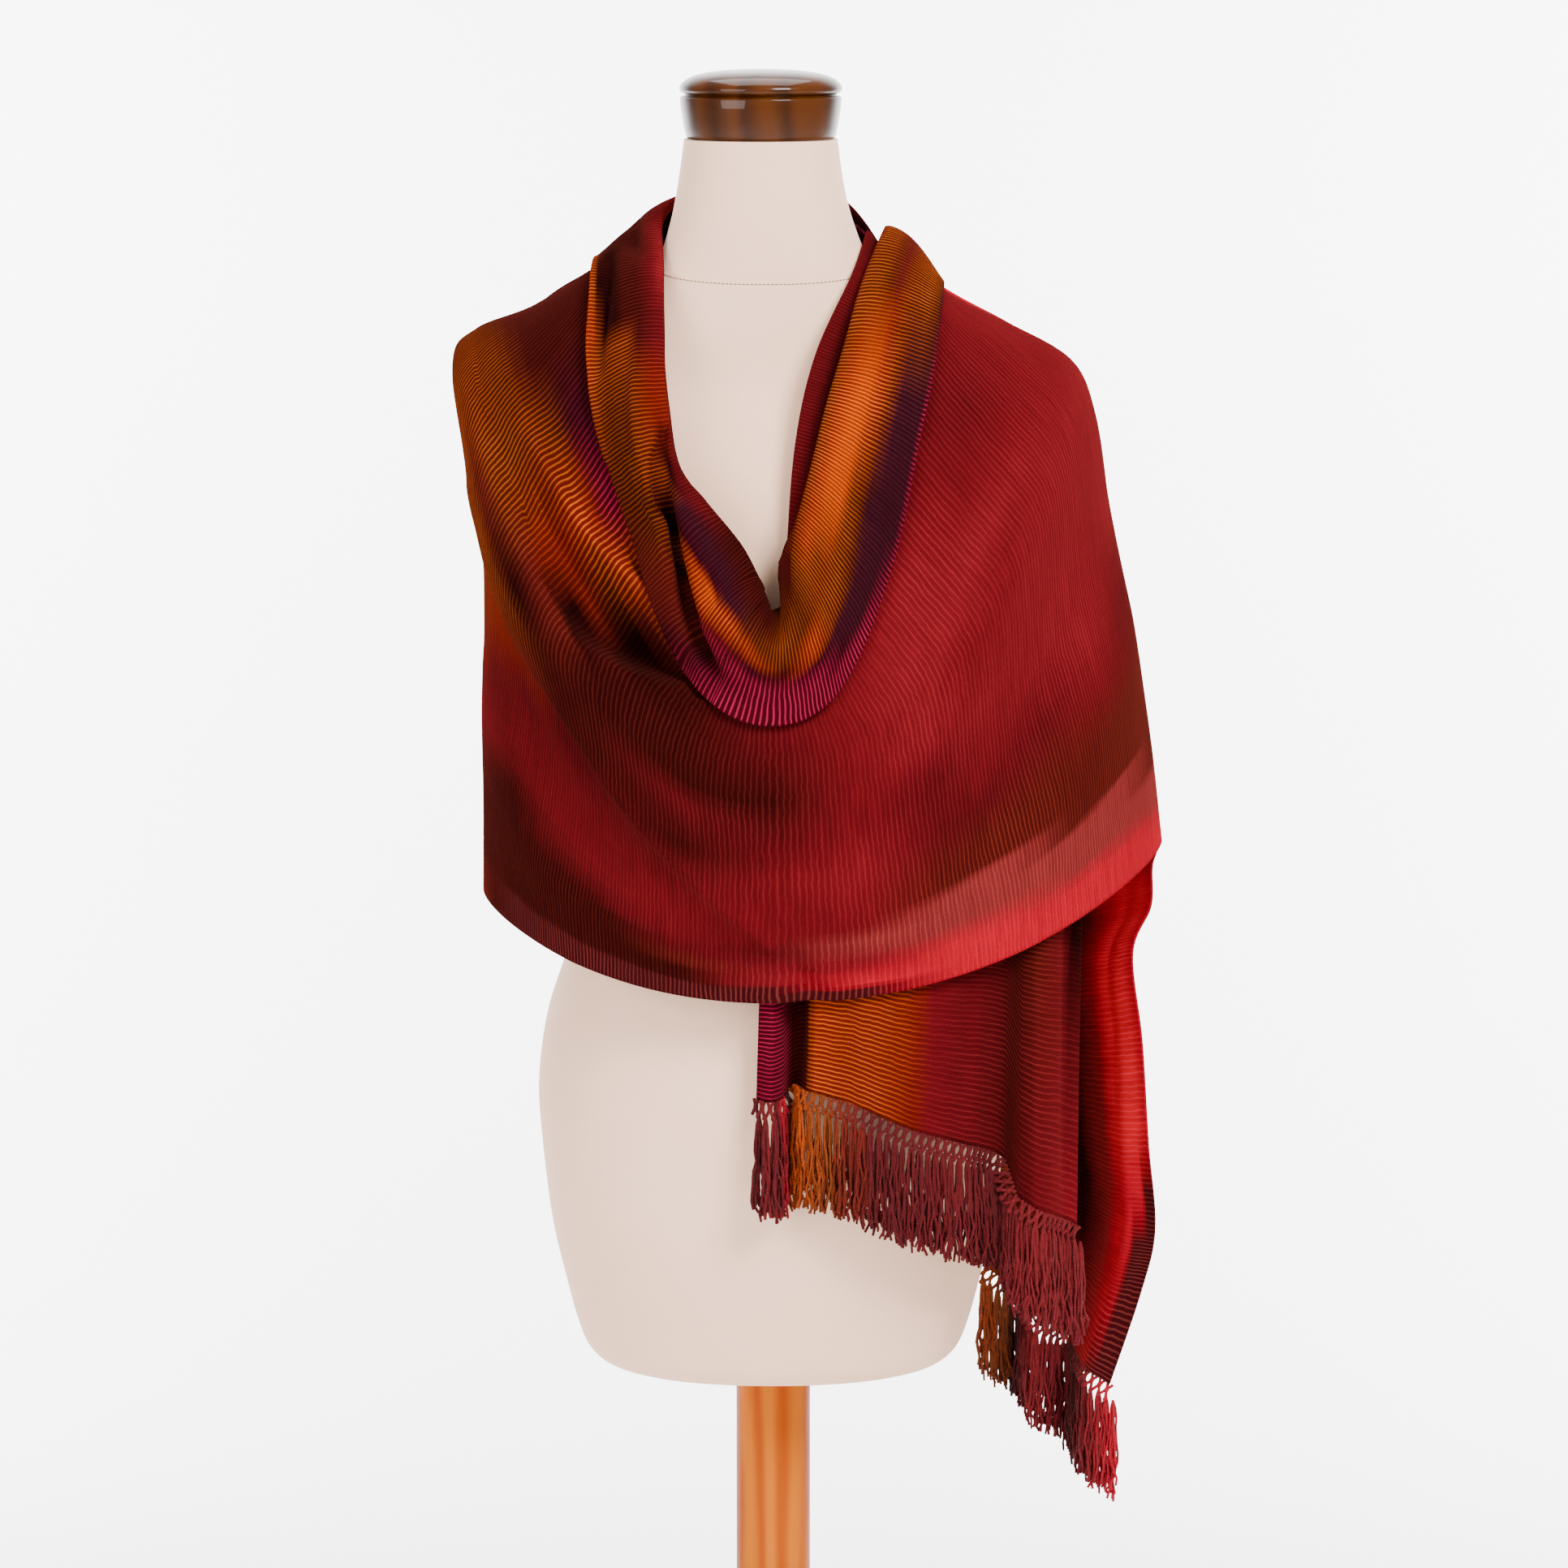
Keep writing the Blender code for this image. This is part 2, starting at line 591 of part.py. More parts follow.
def edge_of(point, cells):
    """A function that gives a place on an end's lower edge and the outward direction."""
    corners = [point(number / cells, 1.0) for number in range(cells + 1)]

    def edge(u):
        number = min(int(u * cells), cells - 1)
        spot = corners[number].lerp(corners[number + 1], u * cells - number)
        across = point(min(u + 0.02, 1.0), 1.0) - point(max(u - 0.02, 0.0), 1.0)
        outwards = across.cross(Vector((0.0, 0.0, 1.0))).normalized()
        clear = outwards.cross(corners[number + 1] - corners[number]).normalized()
        return spot - clear * FRINGE_GAP, outwards
    return edge


def turned(name, profile, centre, material, collection):
    """A turned solid: a profile from its top down to its underside, with a Screw modifier."""
    mesh = bpy.data.meshes.new(name)
    corners = [(radius, 0.0, height) for radius, height in profile]
    edges = [(number, number + 1) for number in range(len(corners) - 1)]
    mesh.from_pydata(corners, edges, [])
    piece = add_object(name, mesh, material, collection)
    piece.location = centre
    turn = piece.modifiers.new("turned", "SCREW")
    turn.axis = "Z"
    turn.steps = TURNED_STEPS
    turn.render_steps = TURNED_STEPS
    turn.use_merge_vertices = True
    turn.merge_threshold = MERGE_DISTANCE
    turn.use_smooth_shade = True
    return piece


def form_body(material, collection, cutters):
    """The dress form: a loft through its sections, with a socket for the pole below."""
    mesh = bpy.data.meshes.new("form_body")
    shape = bmesh.new()
    loops = []
    for height, half_width, front, back, centre in FORM_SECTIONS:
        loop = []
        for number in range(FORM_SEGMENTS):
            angle = 2.0 * math.pi * number / FORM_SEGMENTS
            side, fore = math.sin(angle), math.cos(angle)
            depth = front if fore > 0.0 else back
            loop.append(shape.verts.new((
                centre + math.copysign(half_width * abs(side) ** FORM_POWER, side),
                -math.copysign(depth * abs(fore) ** FORM_POWER, fore),
                height,
            )))
        loops.append(loop)
    for below, above in zip(loops, loops[1:]):
        for number in range(FORM_SEGMENTS):
            after = (number + 1) % FORM_SEGMENTS
            shape.faces.new((below[number], below[after], above[after], above[number]))
    shape.faces.new(loops[0][::-1])
    shape.faces.new(loops[-1])
    bmesh.ops.recalc_face_normals(shape, faces=shape.faces)
    shape.to_mesh(mesh)
    shape.free()
    mesh.shade_smooth()
    form = add_object("form_body", mesh, material, collection)
    bpy.ops.mesh.primitive_cylinder_add(
        vertices=TURNED_STEPS, radius=POLE_RADIUS + SEAM_GAP,
        depth=2.0 * (POLE_SOCKET_DEPTH + SEAM_GAP), location=(0.0, 0.0, FORM_BOTTOM))
    cutter = bpy.context.object
    cutter.name = "pole_socket_cutter"
    for group in list(cutter.users_collection):
        group.objects.unlink(cutter)
    cutters.objects.link(cutter)
    cutter.hide_render = True
    cutter.display_type = "WIRE"
    socket = form.modifiers.new("pole socket", "BOOLEAN")
    socket.operation = "DIFFERENCE"
    socket.solver = "EXACT"
    socket.object = cutter


def stand(wood, honey_wood, collection):
    """The neck cap, the pole up into the form, and the base that it stands in."""
    turned("neck_cap", CAP_PROFILE, (NECK_CENTRE_X, 0.0, NECK_TOP + SEAM_GAP), wood,
           collection)
    turned("stand_base", BASE_PROFILE, (0.0, 0.0, 0.0), honey_wood, collection)
    low = BASE_THICKNESS + SEAM_GAP
    high = FORM_BOTTOM + POLE_SOCKET_DEPTH
    profile = ((0.0, high), (POLE_RADIUS, high), (POLE_RADIUS, low), (0.0, low))
    turned("stand_pole", profile, (0.0, 0.0, 0.0), honey_wood, collection)


def main():
    """Build every piece of the stand, the form and the shawl."""
    clear_scene()
    parts = new_collection(COLLECTION)
    cutters = new_collection(CUTTERS)
    cream = new_material("cream form fabric", (0.694, 0.624, 0.565), 0.80)
    wood = new_material("dark varnished wood", (0.120, 0.030, 0.006), 0.15)
    honey_wood = new_material("honey wood", (0.600, 0.230, 0.025), 0.40)
    red = new_material("red wool", (0.262, 0.010, 0.012), 0.85)
    form_body(cream, parts, cutters)
    stand(wood, honey_wood, parts)
    front_panel(red, parts)
    back_wrap(red, parts)
    collar(red, parts)
    end_a(red, parts)
    end_b(red, parts)
    fringe("fringe_a", edge_of(end_a_point, END_A_CELLS[0]), red, parts)
    fringe("fringe_b", edge_of(end_b_point, END_B_CELLS[0]), red, parts)


main()
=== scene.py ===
"""A hand-woven shawl with knotted, fringed ends, wrapped round a dress form on a pole stand.

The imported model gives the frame. Every piece here is shaped from the same sections as its
solid: the cloth's rings round the form, the collar's sections and the two hanging ends. The
cloth gets finer folds, its dyed bands and its ribs, and the ends get their knotted fringes.
"""

import math

import bmesh
import bpy
import numpy as np
from bpy.props import FloatProperty, FloatVectorProperty, IntProperty, PointerProperty
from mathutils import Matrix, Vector


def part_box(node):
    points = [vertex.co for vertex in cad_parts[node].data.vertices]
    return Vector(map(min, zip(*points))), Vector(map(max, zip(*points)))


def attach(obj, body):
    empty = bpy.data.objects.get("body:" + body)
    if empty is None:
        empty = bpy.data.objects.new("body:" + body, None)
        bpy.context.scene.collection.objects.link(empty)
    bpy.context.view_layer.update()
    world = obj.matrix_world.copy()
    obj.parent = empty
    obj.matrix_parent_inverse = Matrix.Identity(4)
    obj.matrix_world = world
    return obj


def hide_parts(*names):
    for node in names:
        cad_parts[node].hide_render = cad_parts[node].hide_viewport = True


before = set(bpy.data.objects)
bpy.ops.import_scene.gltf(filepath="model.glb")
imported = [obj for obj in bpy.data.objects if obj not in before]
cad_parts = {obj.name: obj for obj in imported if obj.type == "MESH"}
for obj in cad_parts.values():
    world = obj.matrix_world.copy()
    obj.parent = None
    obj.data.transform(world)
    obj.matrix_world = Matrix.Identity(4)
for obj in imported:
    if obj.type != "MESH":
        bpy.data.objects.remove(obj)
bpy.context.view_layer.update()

bl_info = {
    "name": "Wrapped Shawl on a Dress Form",
    "version": (1, 0, 0),
    "blender": (4, 5, 0),
    "location": "View3D > Sidebar > Shawl",
    "description": "Builds a hand-woven shawl with fringed ends, worn by a dress form",
    "category": "Add Mesh",
}

# Sizes of the shawl, metres, and how square its rings are
CLOTH_THICKNESS = 0.0016
LAYER_STEP = 0.0062
FRONT_LAYER_GAP = 0.0045
CLOTH_RADIUS = 0.17
CAPE_POWER = 2.0 / 2.2

# Rings of the wrapped cloth from the neck down, half widths and depths from the pole's axis:
# left x, left z, right x, right z, front y, front z, back y, back z
CAPE_RINGS = (
    (0.0760, 1.404, 0.0600, 1.410, 0.122, 1.158, 0.063, 1.420),
    (0.1020, 1.388, 0.1080, 1.366, 0.140, 1.126, 0.086, 1.384),
    (0.1530, 1.356, 0.1540, 1.342, 0.147, 1.102, 0.103, 1.345),
    (0.1920, 1.340, 0.1930, 1.320, 0.152, 1.080, 0.114, 1.300),
    (0.2060, 1.317, 0.2080, 1.285, 0.155, 1.056, 0.122, 1.245),
    (0.1930, 1.238, 0.2200, 1.220, 0.156, 1.026, 0.127, 1.180),
    (0.1885, 1.155, 0.2340, 1.148, 0.155, 0.996, 0.130, 1.110),
    (0.1885, 1.070, 0.2460, 1.075, 0.152, 0.962, 0.132, 1.045),
    (0.1895, 0.976, 0.2540, 1.008, 0.148, 0.927, 0.133, 0.982),
)
HEM_RING = len(CAPE_RINGS) - 1
SIDE_SEAM = math.radians(95.0)
FRONT_TOP_RING = 0.70

# Folds of the front panel as seen from the front, each a soft line through three places:
# x, z at the start, middle and end, width above and below the line, height (below zero for a
# trough)
FRONT_FOLDS = (
    (-0.185, 1.300, -0.166, 1.192, -0.064, 1.125, 0.010, 0.026, 0.010),
    (-0.152, 1.217, -0.128, 1.137, -0.064, 1.124, 0.008, 0.024, 0.014),
    (-0.142, 1.227, -0.106, 1.142, -0.052, 1.141, 0.018, 0.009, -0.015),
    (-0.165, 1.310, -0.138, 1.222, -0.078, 1.187, 0.009, 0.014, 0.009),
    (-0.148, 1.315, -0.115, 1.236, -0.070, 1.200, 0.010, 0.008, -0.006),
    (-0.178, 1.300, -0.154, 1.230, -0.115, 1.180, 0.010, 0.010, -0.007),
    (-0.190, 1.244, -0.152, 1.134, -0.075, 1.035, 0.022, 0.009, 0.007),
    (-0.110, 1.075, -0.035, 0.985, 0.020, 0.948, 0.020, 0.012, 0.006),
    (-0.187, 1.215, -0.174, 1.102, -0.105, 1.020, 0.012, 0.016, -0.006),
    (-0.186, 1.120, -0.165, 1.030, -0.120, 0.965, 0.016, 0.018, 0.006),
    (-0.060, 1.085, 0.010, 1.000, 0.080, 0.960, 0.024, 0.020, 0.005),
    (0.190, 1.285, 0.135, 1.170, 0.095, 1.080, 0.020, 0.022, 0.007),
    (0.205, 1.230, 0.165, 1.110, 0.120, 1.000, 0.022, 0.024, -0.007),
    (0.225, 1.150, 0.190, 1.060, 0.150, 0.975, 0.022, 0.022, 0.006),
    (0.022, 0.950, 0.020, 0.935, 0.018, 0.915, 0.008, 0.012, -0.004),
)

# Sharper creases of the front that its solid leaves out, in the same columns
FINE_FOLDS = (
    (-0.189, 1.240, -0.150, 1.140, -0.095, 1.062, 0.009, 0.004, 0.0065),
    (-0.195, 1.2365, -0.156, 1.136, -0.100, 1.0555, 0.003, 0.015, -0.0085),
    (-0.100, 1.066, -0.045, 0.995, 0.018, 0.952, 0.009, 0.004, 0.0050),
    (-0.180, 1.285, -0.150, 1.205, -0.114, 1.150, 0.006, 0.009, -0.0110),
    (-0.132, 1.178, -0.111, 1.148, -0.060, 1.134, 0.016, 0.004, -0.0220),
    (-0.124, 1.158, -0.102, 1.133, -0.052, 1.121, 0.003, 0.010, 0.0090),
    (-0.150, 1.275, -0.124, 1.225, -0.079, 1.187, 0.005, 0.006, 0.0060),
    (-0.128, 1.245, -0.110, 1.214, -0.076, 1.193, 0.004, 0.004, -0.0070),
    (-0.125, 1.251, -0.104, 1.228, -0.082, 1.199, 0.004, 0.004, -0.0045),
    (0.004, 0.975, 0.018, 0.952, 0.026, 0.934, 0.005, 0.008, -0.0060),
    (0.170, 1.250, 0.120, 1.150, 0.085, 1.060, 0.008, 0.014, 0.0030),
    (0.205, 1.190, 0.160, 1.090, 0.125, 1.000, 0.008, 0.012, -0.0035),
    (-0.150, 1.010, -0.080, 0.955, 0.000, 0.930, 0.006, 0.010, 0.0030),
)

# Folds across the back, also as seen from the front, in the same columns
BACK_FOLDS = (
    (-0.160, 1.310, -0.050, 1.220, 0.090, 1.190, 0.020, 0.026, 0.008),
    (-0.175, 1.240, -0.070, 1.130, 0.070, 1.090, 0.022, 0.022, -0.007),
    (-0.180, 1.120, -0.060, 1.030, 0.060, 1.000, 0.024, 0.024, 0.007),
    (-0.120, 1.330, -0.030, 1.290, 0.060, 1.285, 0.012, 0.016, 0.004),
)

# Soft folds of the back in metres of its cloth, along it and down it at the start, middle and
# end, then width above and below and height
BACK_CREASES = (
    (-0.340, 0.040, -0.440, 0.100, -0.580, 0.120, 0.010, 0.014, 0.0030),
    (-0.300, 0.100, -0.420, 0.200, -0.560, 0.220, 0.012, 0.018, 0.0050),
    (-0.290, 0.170, -0.420, 0.270, -0.580, 0.290, 0.014, 0.016, -0.0050),
    (-0.300, 0.260, -0.400, 0.340, -0.550, 0.370, 0.012, 0.014, 0.0045),
    (-0.310, 0.340, -0.420, 0.420, -0.560, 0.450, 0.012, 0.012, -0.0035),
)

# The collar from the back of the neck round the left to the right shoulder: inner edge
# x, y, z, angle and ring of its outer edge on the cape, height of its roll, depth of its
# inner leg, place and depth of the groove beside the left lapel
COLLAR_SECTIONS = (
    (0.0430, 0.0560, 1.422, -222.0, 0.90, 0.004, 0.002, 0.10, 0.000),
    (0.0050, 0.0680, 1.428, -180.0, 0.95, 0.005, 0.003, 0.10, 0.000),
    (-0.0420, 0.0570, 1.427, -138.0, 1.00, 0.005, 0.003, 0.10, 0.000),
    (-0.0690, 0.0150, 1.417, -102.0, 1.12, 0.005, 0.005, 0.10, 0.000),
    (-0.0690, -0.0400, 1.380, -77.0, 1.30, 0.007, 0.007, 0.10, 0.000),
    (-0.0680, -0.0730, 1.344, -65.0, 1.48, 0.009, 0.010, 0.10, 0.000),
    (-0.0665, -0.1050, 1.305, -55.0, 1.58, 0.011, 0.012, 0.10, 0.003),
    (-0.0600, -0.1220, 1.266, -46.0, 1.60, 0.013, 0.012, 0.16, 0.008),
    (-0.0420, -0.1260, 1.243, -37.0, 1.62, 0.015, 0.012, 0.46, 0.013),
    (-0.0180, -0.1350, 1.214, -28.0, 1.75, 0.017, 0.012, 0.70, 0.010),
    (-0.0045, -0.1450, 1.187, -16.0, 1.90, 0.015, 0.010, 0.76, 0.004),
    (0.0040, -0.1520, 1.166, 0.0, 1.98, 0.011, 0.008, 0.80, 0.001),
    (0.0115, -0.1500, 1.187, 11.0, 1.85, 0.012, 0.007, 0.50, 0.000),
    (0.0120, -0.1420, 1.211, 20.0, 1.60, 0.013, 0.006, 0.50, 0.000),
    (0.0165, -0.1330, 1.236, 29.0, 1.40, 0.012, 0.006, 0.50, 0.000),
    (0.0240, -0.1200, 1.264, 39.0, 1.27, 0.010, 0.006, 0.50, 0.000),
    (0.0330, -0.1050, 1.299, 51.0, 1.12, 0.009, 0.006, 0.50, 0.000),
    (0.0440, -0.0850, 1.334, 64.0, 1.07, 0.008, 0.005, 0.50, 0.000),
    (0.0560, -0.0545, 1.373, 77.0, 1.00, 0.007, 0.004, 0.50, 0.000),
    (0.0710, -0.0085, 1.405, 92.0, 0.97, 0.006, 0.003, 0.50, 0.000),
    (0.0730, 0.0330, 1.400, 114.0, 0.92, 0.006, 0.002, 0.50, 0.000),
)
COLLAR_LIFT = 0.0056

# How far the inner leg reaches across the foot of the opening, by section number
COLLAR_LEG_REACH = ((10.3, 0.000), (11.1, 0.030), (11.8, 0.026), (12.7, 0.012), (13.6, 0.004),
                    (14.6, 0.000))
COLLAR_CREST = 0.22

# Creases of the collar in metres of its cloth, along it and across it at the start, middle and
# end, then width above and below and height: the rolled rim and the hollow behind it, the
# hollow beside the neck, and the long folds of both lapels
COLLAR_CREASES = (
    (0.225, 0.0835, 0.300, 0.0845, 0.385, 0.0850, 0.004, 0.003, 0.0035),
    (0.235, 0.0690, 0.280, 0.0720, 0.325, 0.0780, 0.005, 0.006, -0.0070),
    (0.195, 0.0500, 0.215, 0.0520, 0.240, 0.0420, 0.010, 0.010, -0.0080),
    (0.310, 0.0400, 0.360, 0.0430, 0.410, 0.0480, 0.005, 0.005, 0.0025),
    (0.400, 0.0560, 0.450, 0.0500, 0.500, 0.0550, 0.005, 0.005, 0.0030),
    (0.660, 0.0480, 0.740, 0.0440, 0.830, 0.0520, 0.006, 0.006, -0.0020),
    (0.600, 0.0660, 0.700, 0.0700, 0.800, 0.0680, 0.008, 0.006, 0.0020),
    (0.385, 0.0240, 0.451, 0.0593, 0.533, 0.0695, 0.003, 0.004, -0.0090),
    (0.385, 0.0310, 0.449, 0.0660, 0.530, 0.0760, 0.004, 0.004, 0.0030),
)

# The front end from the shoulder down: left edge x, y, z, right edge x, y, z, bulge y, z,
# share of the pleats that shows
END_A_FREE_BELOW = 0.935
END_A_SECTIONS = (
    (0.0612, -0.002, 1.4040, 0.186, -0.002, 1.3130, 0.000, -0.012, 0.00),
    (0.0512, -0.0405, 1.3800, 0.190, -0.026, 1.2950, -0.008, -0.004, 0.00),
    (0.0270, -0.0740, 1.3300, 0.196, -0.046, 1.2550, -0.008, 0.002, 0.05),
    (0.0140, -0.0990, 1.2750, 0.200, -0.060, 1.2050, -0.010, 0.002, 0.10),
    (0.0080, -0.1220, 1.2000, 0.205, -0.068, 1.1400, -0.014, 0.002, 0.15),
    (0.0030, -0.1270, 1.1200, 0.206, -0.074, 1.0700, -0.020, 0.000, 0.20),
    (-0.0030, -0.1290, 1.0300, 0.199, -0.080, 0.9900, -0.024, 0.000, 0.35),
    (-0.0080, -0.1320, 0.9400, 0.197, -0.086, 0.8950, -0.020, 0.000, 0.75),
    (-0.0105, -0.1330, 0.8625, 0.196, -0.092, 0.7695, -0.018, 0.000, 1.00),
)

# Pleats of the front end across its width: place, half width, outward height
END_A_PLEATS = (
    (0.040, 0.045, 0.010),
    (0.100, 0.030, -0.016),
    (0.420, 0.160, 0.006),
    (0.740, 0.055, -0.012),
    (0.880, 0.060, 0.014),
)

# Height of the front end's lower edge above the straight line between its corners
END_A_EDGE = (
    (0.00, 0.000), (0.08, 0.006), (0.12, 0.018), (0.29, 0.025), (0.48, 0.024),
    (0.68, 0.028), (0.77, 0.026), (0.81, 0.006), (0.91, 0.004), (1.00, 0.000),
)

# Soft folds of the front end, in metres down it and across it, in the same columns
END_A_CREASES = (
    (0.440, 0.038, 0.560, 0.038, 0.660, 0.037, 0.005, 0.004, -0.0060),
    (0.440, 0.110, 0.560, 0.100, 0.660, 0.090, 0.012, 0.012, 0.0020),
    (0.440, 0.205, 0.560, 0.200, 0.660, 0.190, 0.008, 0.010, -0.0030),
    (0.440, 0.285, 0.560, 0.288, 0.660, 0.290, 0.006, 0.006, -0.0040),
)

# The back end below the hem: right edge x, y, z, left edge x, y, z, bulge y, pleat share
END_B_SECTIONS = (
    (0.2500, 0.020, 0.985, 0.092, 0.130, 0.930, 0.024, 0.10),
    (0.2500, 0.028, 0.957, 0.100, 0.128, 0.895, 0.024, 0.25),
    (0.2385, 0.030, 0.925, 0.108, 0.125, 0.865, 0.022, 0.45),
    (0.2455, 0.030, 0.865, 0.116, 0.121, 0.825, 0.020, 0.70),
    (0.2505, 0.031, 0.795, 0.124, 0.115, 0.785, 0.018, 0.90),
    (0.2555, 0.033, 0.738, 0.132, 0.108, 0.745, 0.016, 1.00),
    (0.2470, 0.035, 0.695, 0.137, 0.104, 0.720, 0.014, 1.00),
    (0.2262, 0.036, 0.630, 0.141, 0.100, 0.698, 0.012, 1.00),
)

# Pleats of the back end across its width: place, half width, height away from the body
END_B_PLEATS = (
    (0.130, 0.090, -0.012),
    (0.360, 0.080, 0.012),
    (0.550, 0.080, -0.008),
    (0.760, 0.070, 0.012),
)
END_B_INNER_ANGLE = math.radians(162.0)

# Soft folds of the back end, in metres down it and across it
END_B_CREASES = (
    (0.420, 0.030, 0.600, 0.040, 0.760, 0.070, 0.010, 0.010, 0.0025),
    (0.420, 0.110, 0.600, 0.115, 0.760, 0.125, 0.010, 0.014, -0.0040),
    (0.100, 0.200, 0.400, 0.190, 0.760, 0.210, 0.012, 0.016, 0.0030),
)

# Sections of the dress form: height, half width, front depth, back depth, centre x
NECK_CENTRE_X = -0.0077
FORM_SECTIONS = (
    (0.6600, 0.104, 0.080, 0.080, 0.000),
    (0.6640, 0.115, 0.088, 0.088, 0.000),
    (0.6730, 0.1235, 0.094, 0.094, 0.000),
    (0.6900, 0.1300, 0.099, 0.099, 0.000),
    (0.7150, 0.1365, 0.105, 0.105, 0.000),
    (0.7550, 0.1455, 0.112, 0.112, 0.000),
    (0.8050, 0.1516, 0.117, 0.118, 0.000),
    (0.8480, 0.1540, 0.119, 0.120, 0.000),
    (0.8930, 0.1480, 0.115, 0.114, 0.000),
    (0.9330, 0.1350, 0.108, 0.104, 0.000),
    (0.9750, 0.1215, 0.101, 0.093, 0.000),
    (1.0200, 0.1150, 0.097, 0.085, 0.000),
    (1.0700, 0.1200, 0.101, 0.085, 0.000),
    (1.1200, 0.1290, 0.107, 0.089, 0.000),
    (1.1700, 0.1380, 0.110, 0.094, 0.000),
    (1.2100, 0.1440, 0.104, 0.097, 0.000),
    (1.2500, 0.1520, 0.090, 0.097, 0.000),
    (1.2800, 0.1610, 0.073, 0.090, 0.000),
    (1.2980, 0.1660, 0.060, 0.080, 0.000),
    (1.3110, 0.1620, 0.053, 0.070, -0.001),
    (1.3260, 0.1400, 0.050, 0.064, -0.002),
    (1.3450, 0.1080, 0.049, 0.060, -0.003),
    (1.3650, 0.0845, 0.0480, 0.056, -0.005),
    (1.3850, 0.0681, 0.0485, 0.0535, -0.006),
    (1.4080, 0.0590, 0.0490, 0.0515, -0.007),
    (1.4320, 0.0535, 0.0495, 0.0505, NECK_CENTRE_X),
    (1.4618, 0.0492, 0.0492, 0.0492, NECK_CENTRE_X),
)
FORM_POWER = 2.0 / 2.3


def cubic(spots, step):
    """The smooth curve through four neighbours, at a step from the second to the third."""
    before, here, after, beyond = spots
    bend = before * 2.0 - here * 5.0 + after * 4.0 - beyond
    twist = here * 3.0 - before - after * 3.0 + beyond
    return (here * 2.0 + (after - before) * step + bend * step ** 2 + twist * step ** 3) * 0.5


def glide(values, place):
    """The value at each place along a list, on a smooth curve through every entry."""
    values = np.asarray(values, dtype=float)
    last = len(values) - 1
    place = np.clip(np.asarray(place, dtype=float), 0.0, last)
    index = np.minimum(place.astype(int), last - 1)
    ends = np.concatenate(([2 * values[0] - values[1]], values, [2 * values[-1] - values[-2]]))
    return cubic([ends[index + shift] for shift in range(4)], place - index)


def column(table, number):
    return [row[number] for row in table]


def bump_shape(distance, width):
    return np.exp(-(distance / width) ** 2)


def unit(vectors):
    """Each vector of an array at length one."""
    return vectors / np.maximum(np.linalg.norm(vectors, axis=-1, keepdims=True), 1e-9)


def cape_ring(angle, ring):
    """The plain surface of the wrapped cloth, at angles from the front and at rings."""
    side, fore = np.sin(angle), np.cos(angle)
    columns = [glide(column(CAPE_RINGS, number), ring) for number in range(8)]
    half_width = np.where(side > 0.0, columns[2], columns[0])
    side_z = np.where(side > 0.0, columns[3], columns[1])
    depth = np.where(fore > 0.0, columns[4], columns[6])
    end_z = np.where(fore > 0.0, columns[5], columns[7])
    return np.stack((
        np.sign(side) * half_width * np.abs(side) ** CAPE_POWER,
        -np.sign(fore) * depth * np.abs(fore) ** CAPE_POWER,
        end_z * fore ** 2 + side_z * side ** 2,
    ), axis=-1)


def cape_normal(angle, ring):
    """The outward direction of the plain surface."""
    turn, drop = 0.02, 0.10
    low, high = np.maximum(ring - drop, 0.0), np.minimum(ring + drop, float(HEM_RING))
    across = cape_ring(angle + turn, ring) - cape_ring(angle - turn, ring)
    down = cape_ring(angle, high) - cape_ring(angle, low)
    return unit(np.cross(down, across))


def fold_height(folds, x, z):
    """Sum of the folds of a table at places seen from the front."""
    total = np.zeros_like(x)
    pieces = 12
    for x0, z0, x1, z1, x2, z2, above, below, height in folds:
        nearest = np.full_like(x, 1.0)
        along = np.zeros_like(x)
        signed = np.zeros_like(x)
        steps = np.arange(pieces + 1) / pieces
        path_x = (1 - steps) ** 2 * x0 + 2 * steps * (1 - steps) * x1 + steps ** 2 * x2
        path_z = (1 - steps) ** 2 * z0 + 2 * steps * (1 - steps) * z1 + steps ** 2 * z2
        for piece in range(pieces):
            dx, dz = path_x[piece + 1] - path_x[piece], path_z[piece + 1] - path_z[piece]
            off_x, off_z = x - path_x[piece], z - path_z[piece]
            share = np.clip((off_x * dx + off_z * dz) / (dx * dx + dz * dz), 0.0, 1.0)
            gap = np.hypot(off_x - share * dx, off_z - share * dz)
            closer = gap < nearest
            nearest = np.where(closer, gap, nearest)
            along = np.where(closer, (piece + share) / pieces, along)
            side = np.sign(dx * off_z - dz * off_x) * (1.0 if dx > 0 else -1.0)
            signed = np.where(closer, side, signed)
        width = np.where(signed > 0.0, above, below)
        total += height * bump_shape(nearest, width) * np.sin(math.pi * (0.15 + 0.70 * along))
    return total


def front_point(angle, ring, out=0.0, folds=FRONT_FOLDS):
    """Points of the front with its folds, and an optional distance outwards."""
    place = cape_ring(angle, ring)
    fade = np.maximum(np.cos(angle * math.pi / 2.0 / SIDE_SEAM), 0.0) ** 0.5
    height = fold_height(folds, place[..., 0], place[..., 2]) * fade
    return place + cape_normal(angle, ring) * (height + out)[..., None]


def back_point(angle, ring, inset):
    """Points across the back, on the layer under the back end."""
    place = cape_ring(angle, ring)
    height = fold_height(BACK_FOLDS, place[..., 0], place[..., 2])
    height = height * np.maximum(-np.cos(angle), 0.0)
    return place + cape_normal(angle, ring) * (height - inset)[..., None]


def collar_edges(place):
    inner = np.stack([glide(column(COLLAR_SECTIONS, axis), place) for axis in range(3)], -1)
    angle = np.radians(glide(column(COLLAR_SECTIONS, 3), place))
    ring = glide(column(COLLAR_SECTIONS, 4), place)
    front = front_point(angle, ring, COLLAR_LIFT)
    back = cape_ring(angle, ring) + cape_normal(angle, ring) * COLLAR_LIFT
    return inner, np.where((np.cos(angle) > 0.0)[..., None], front, back)


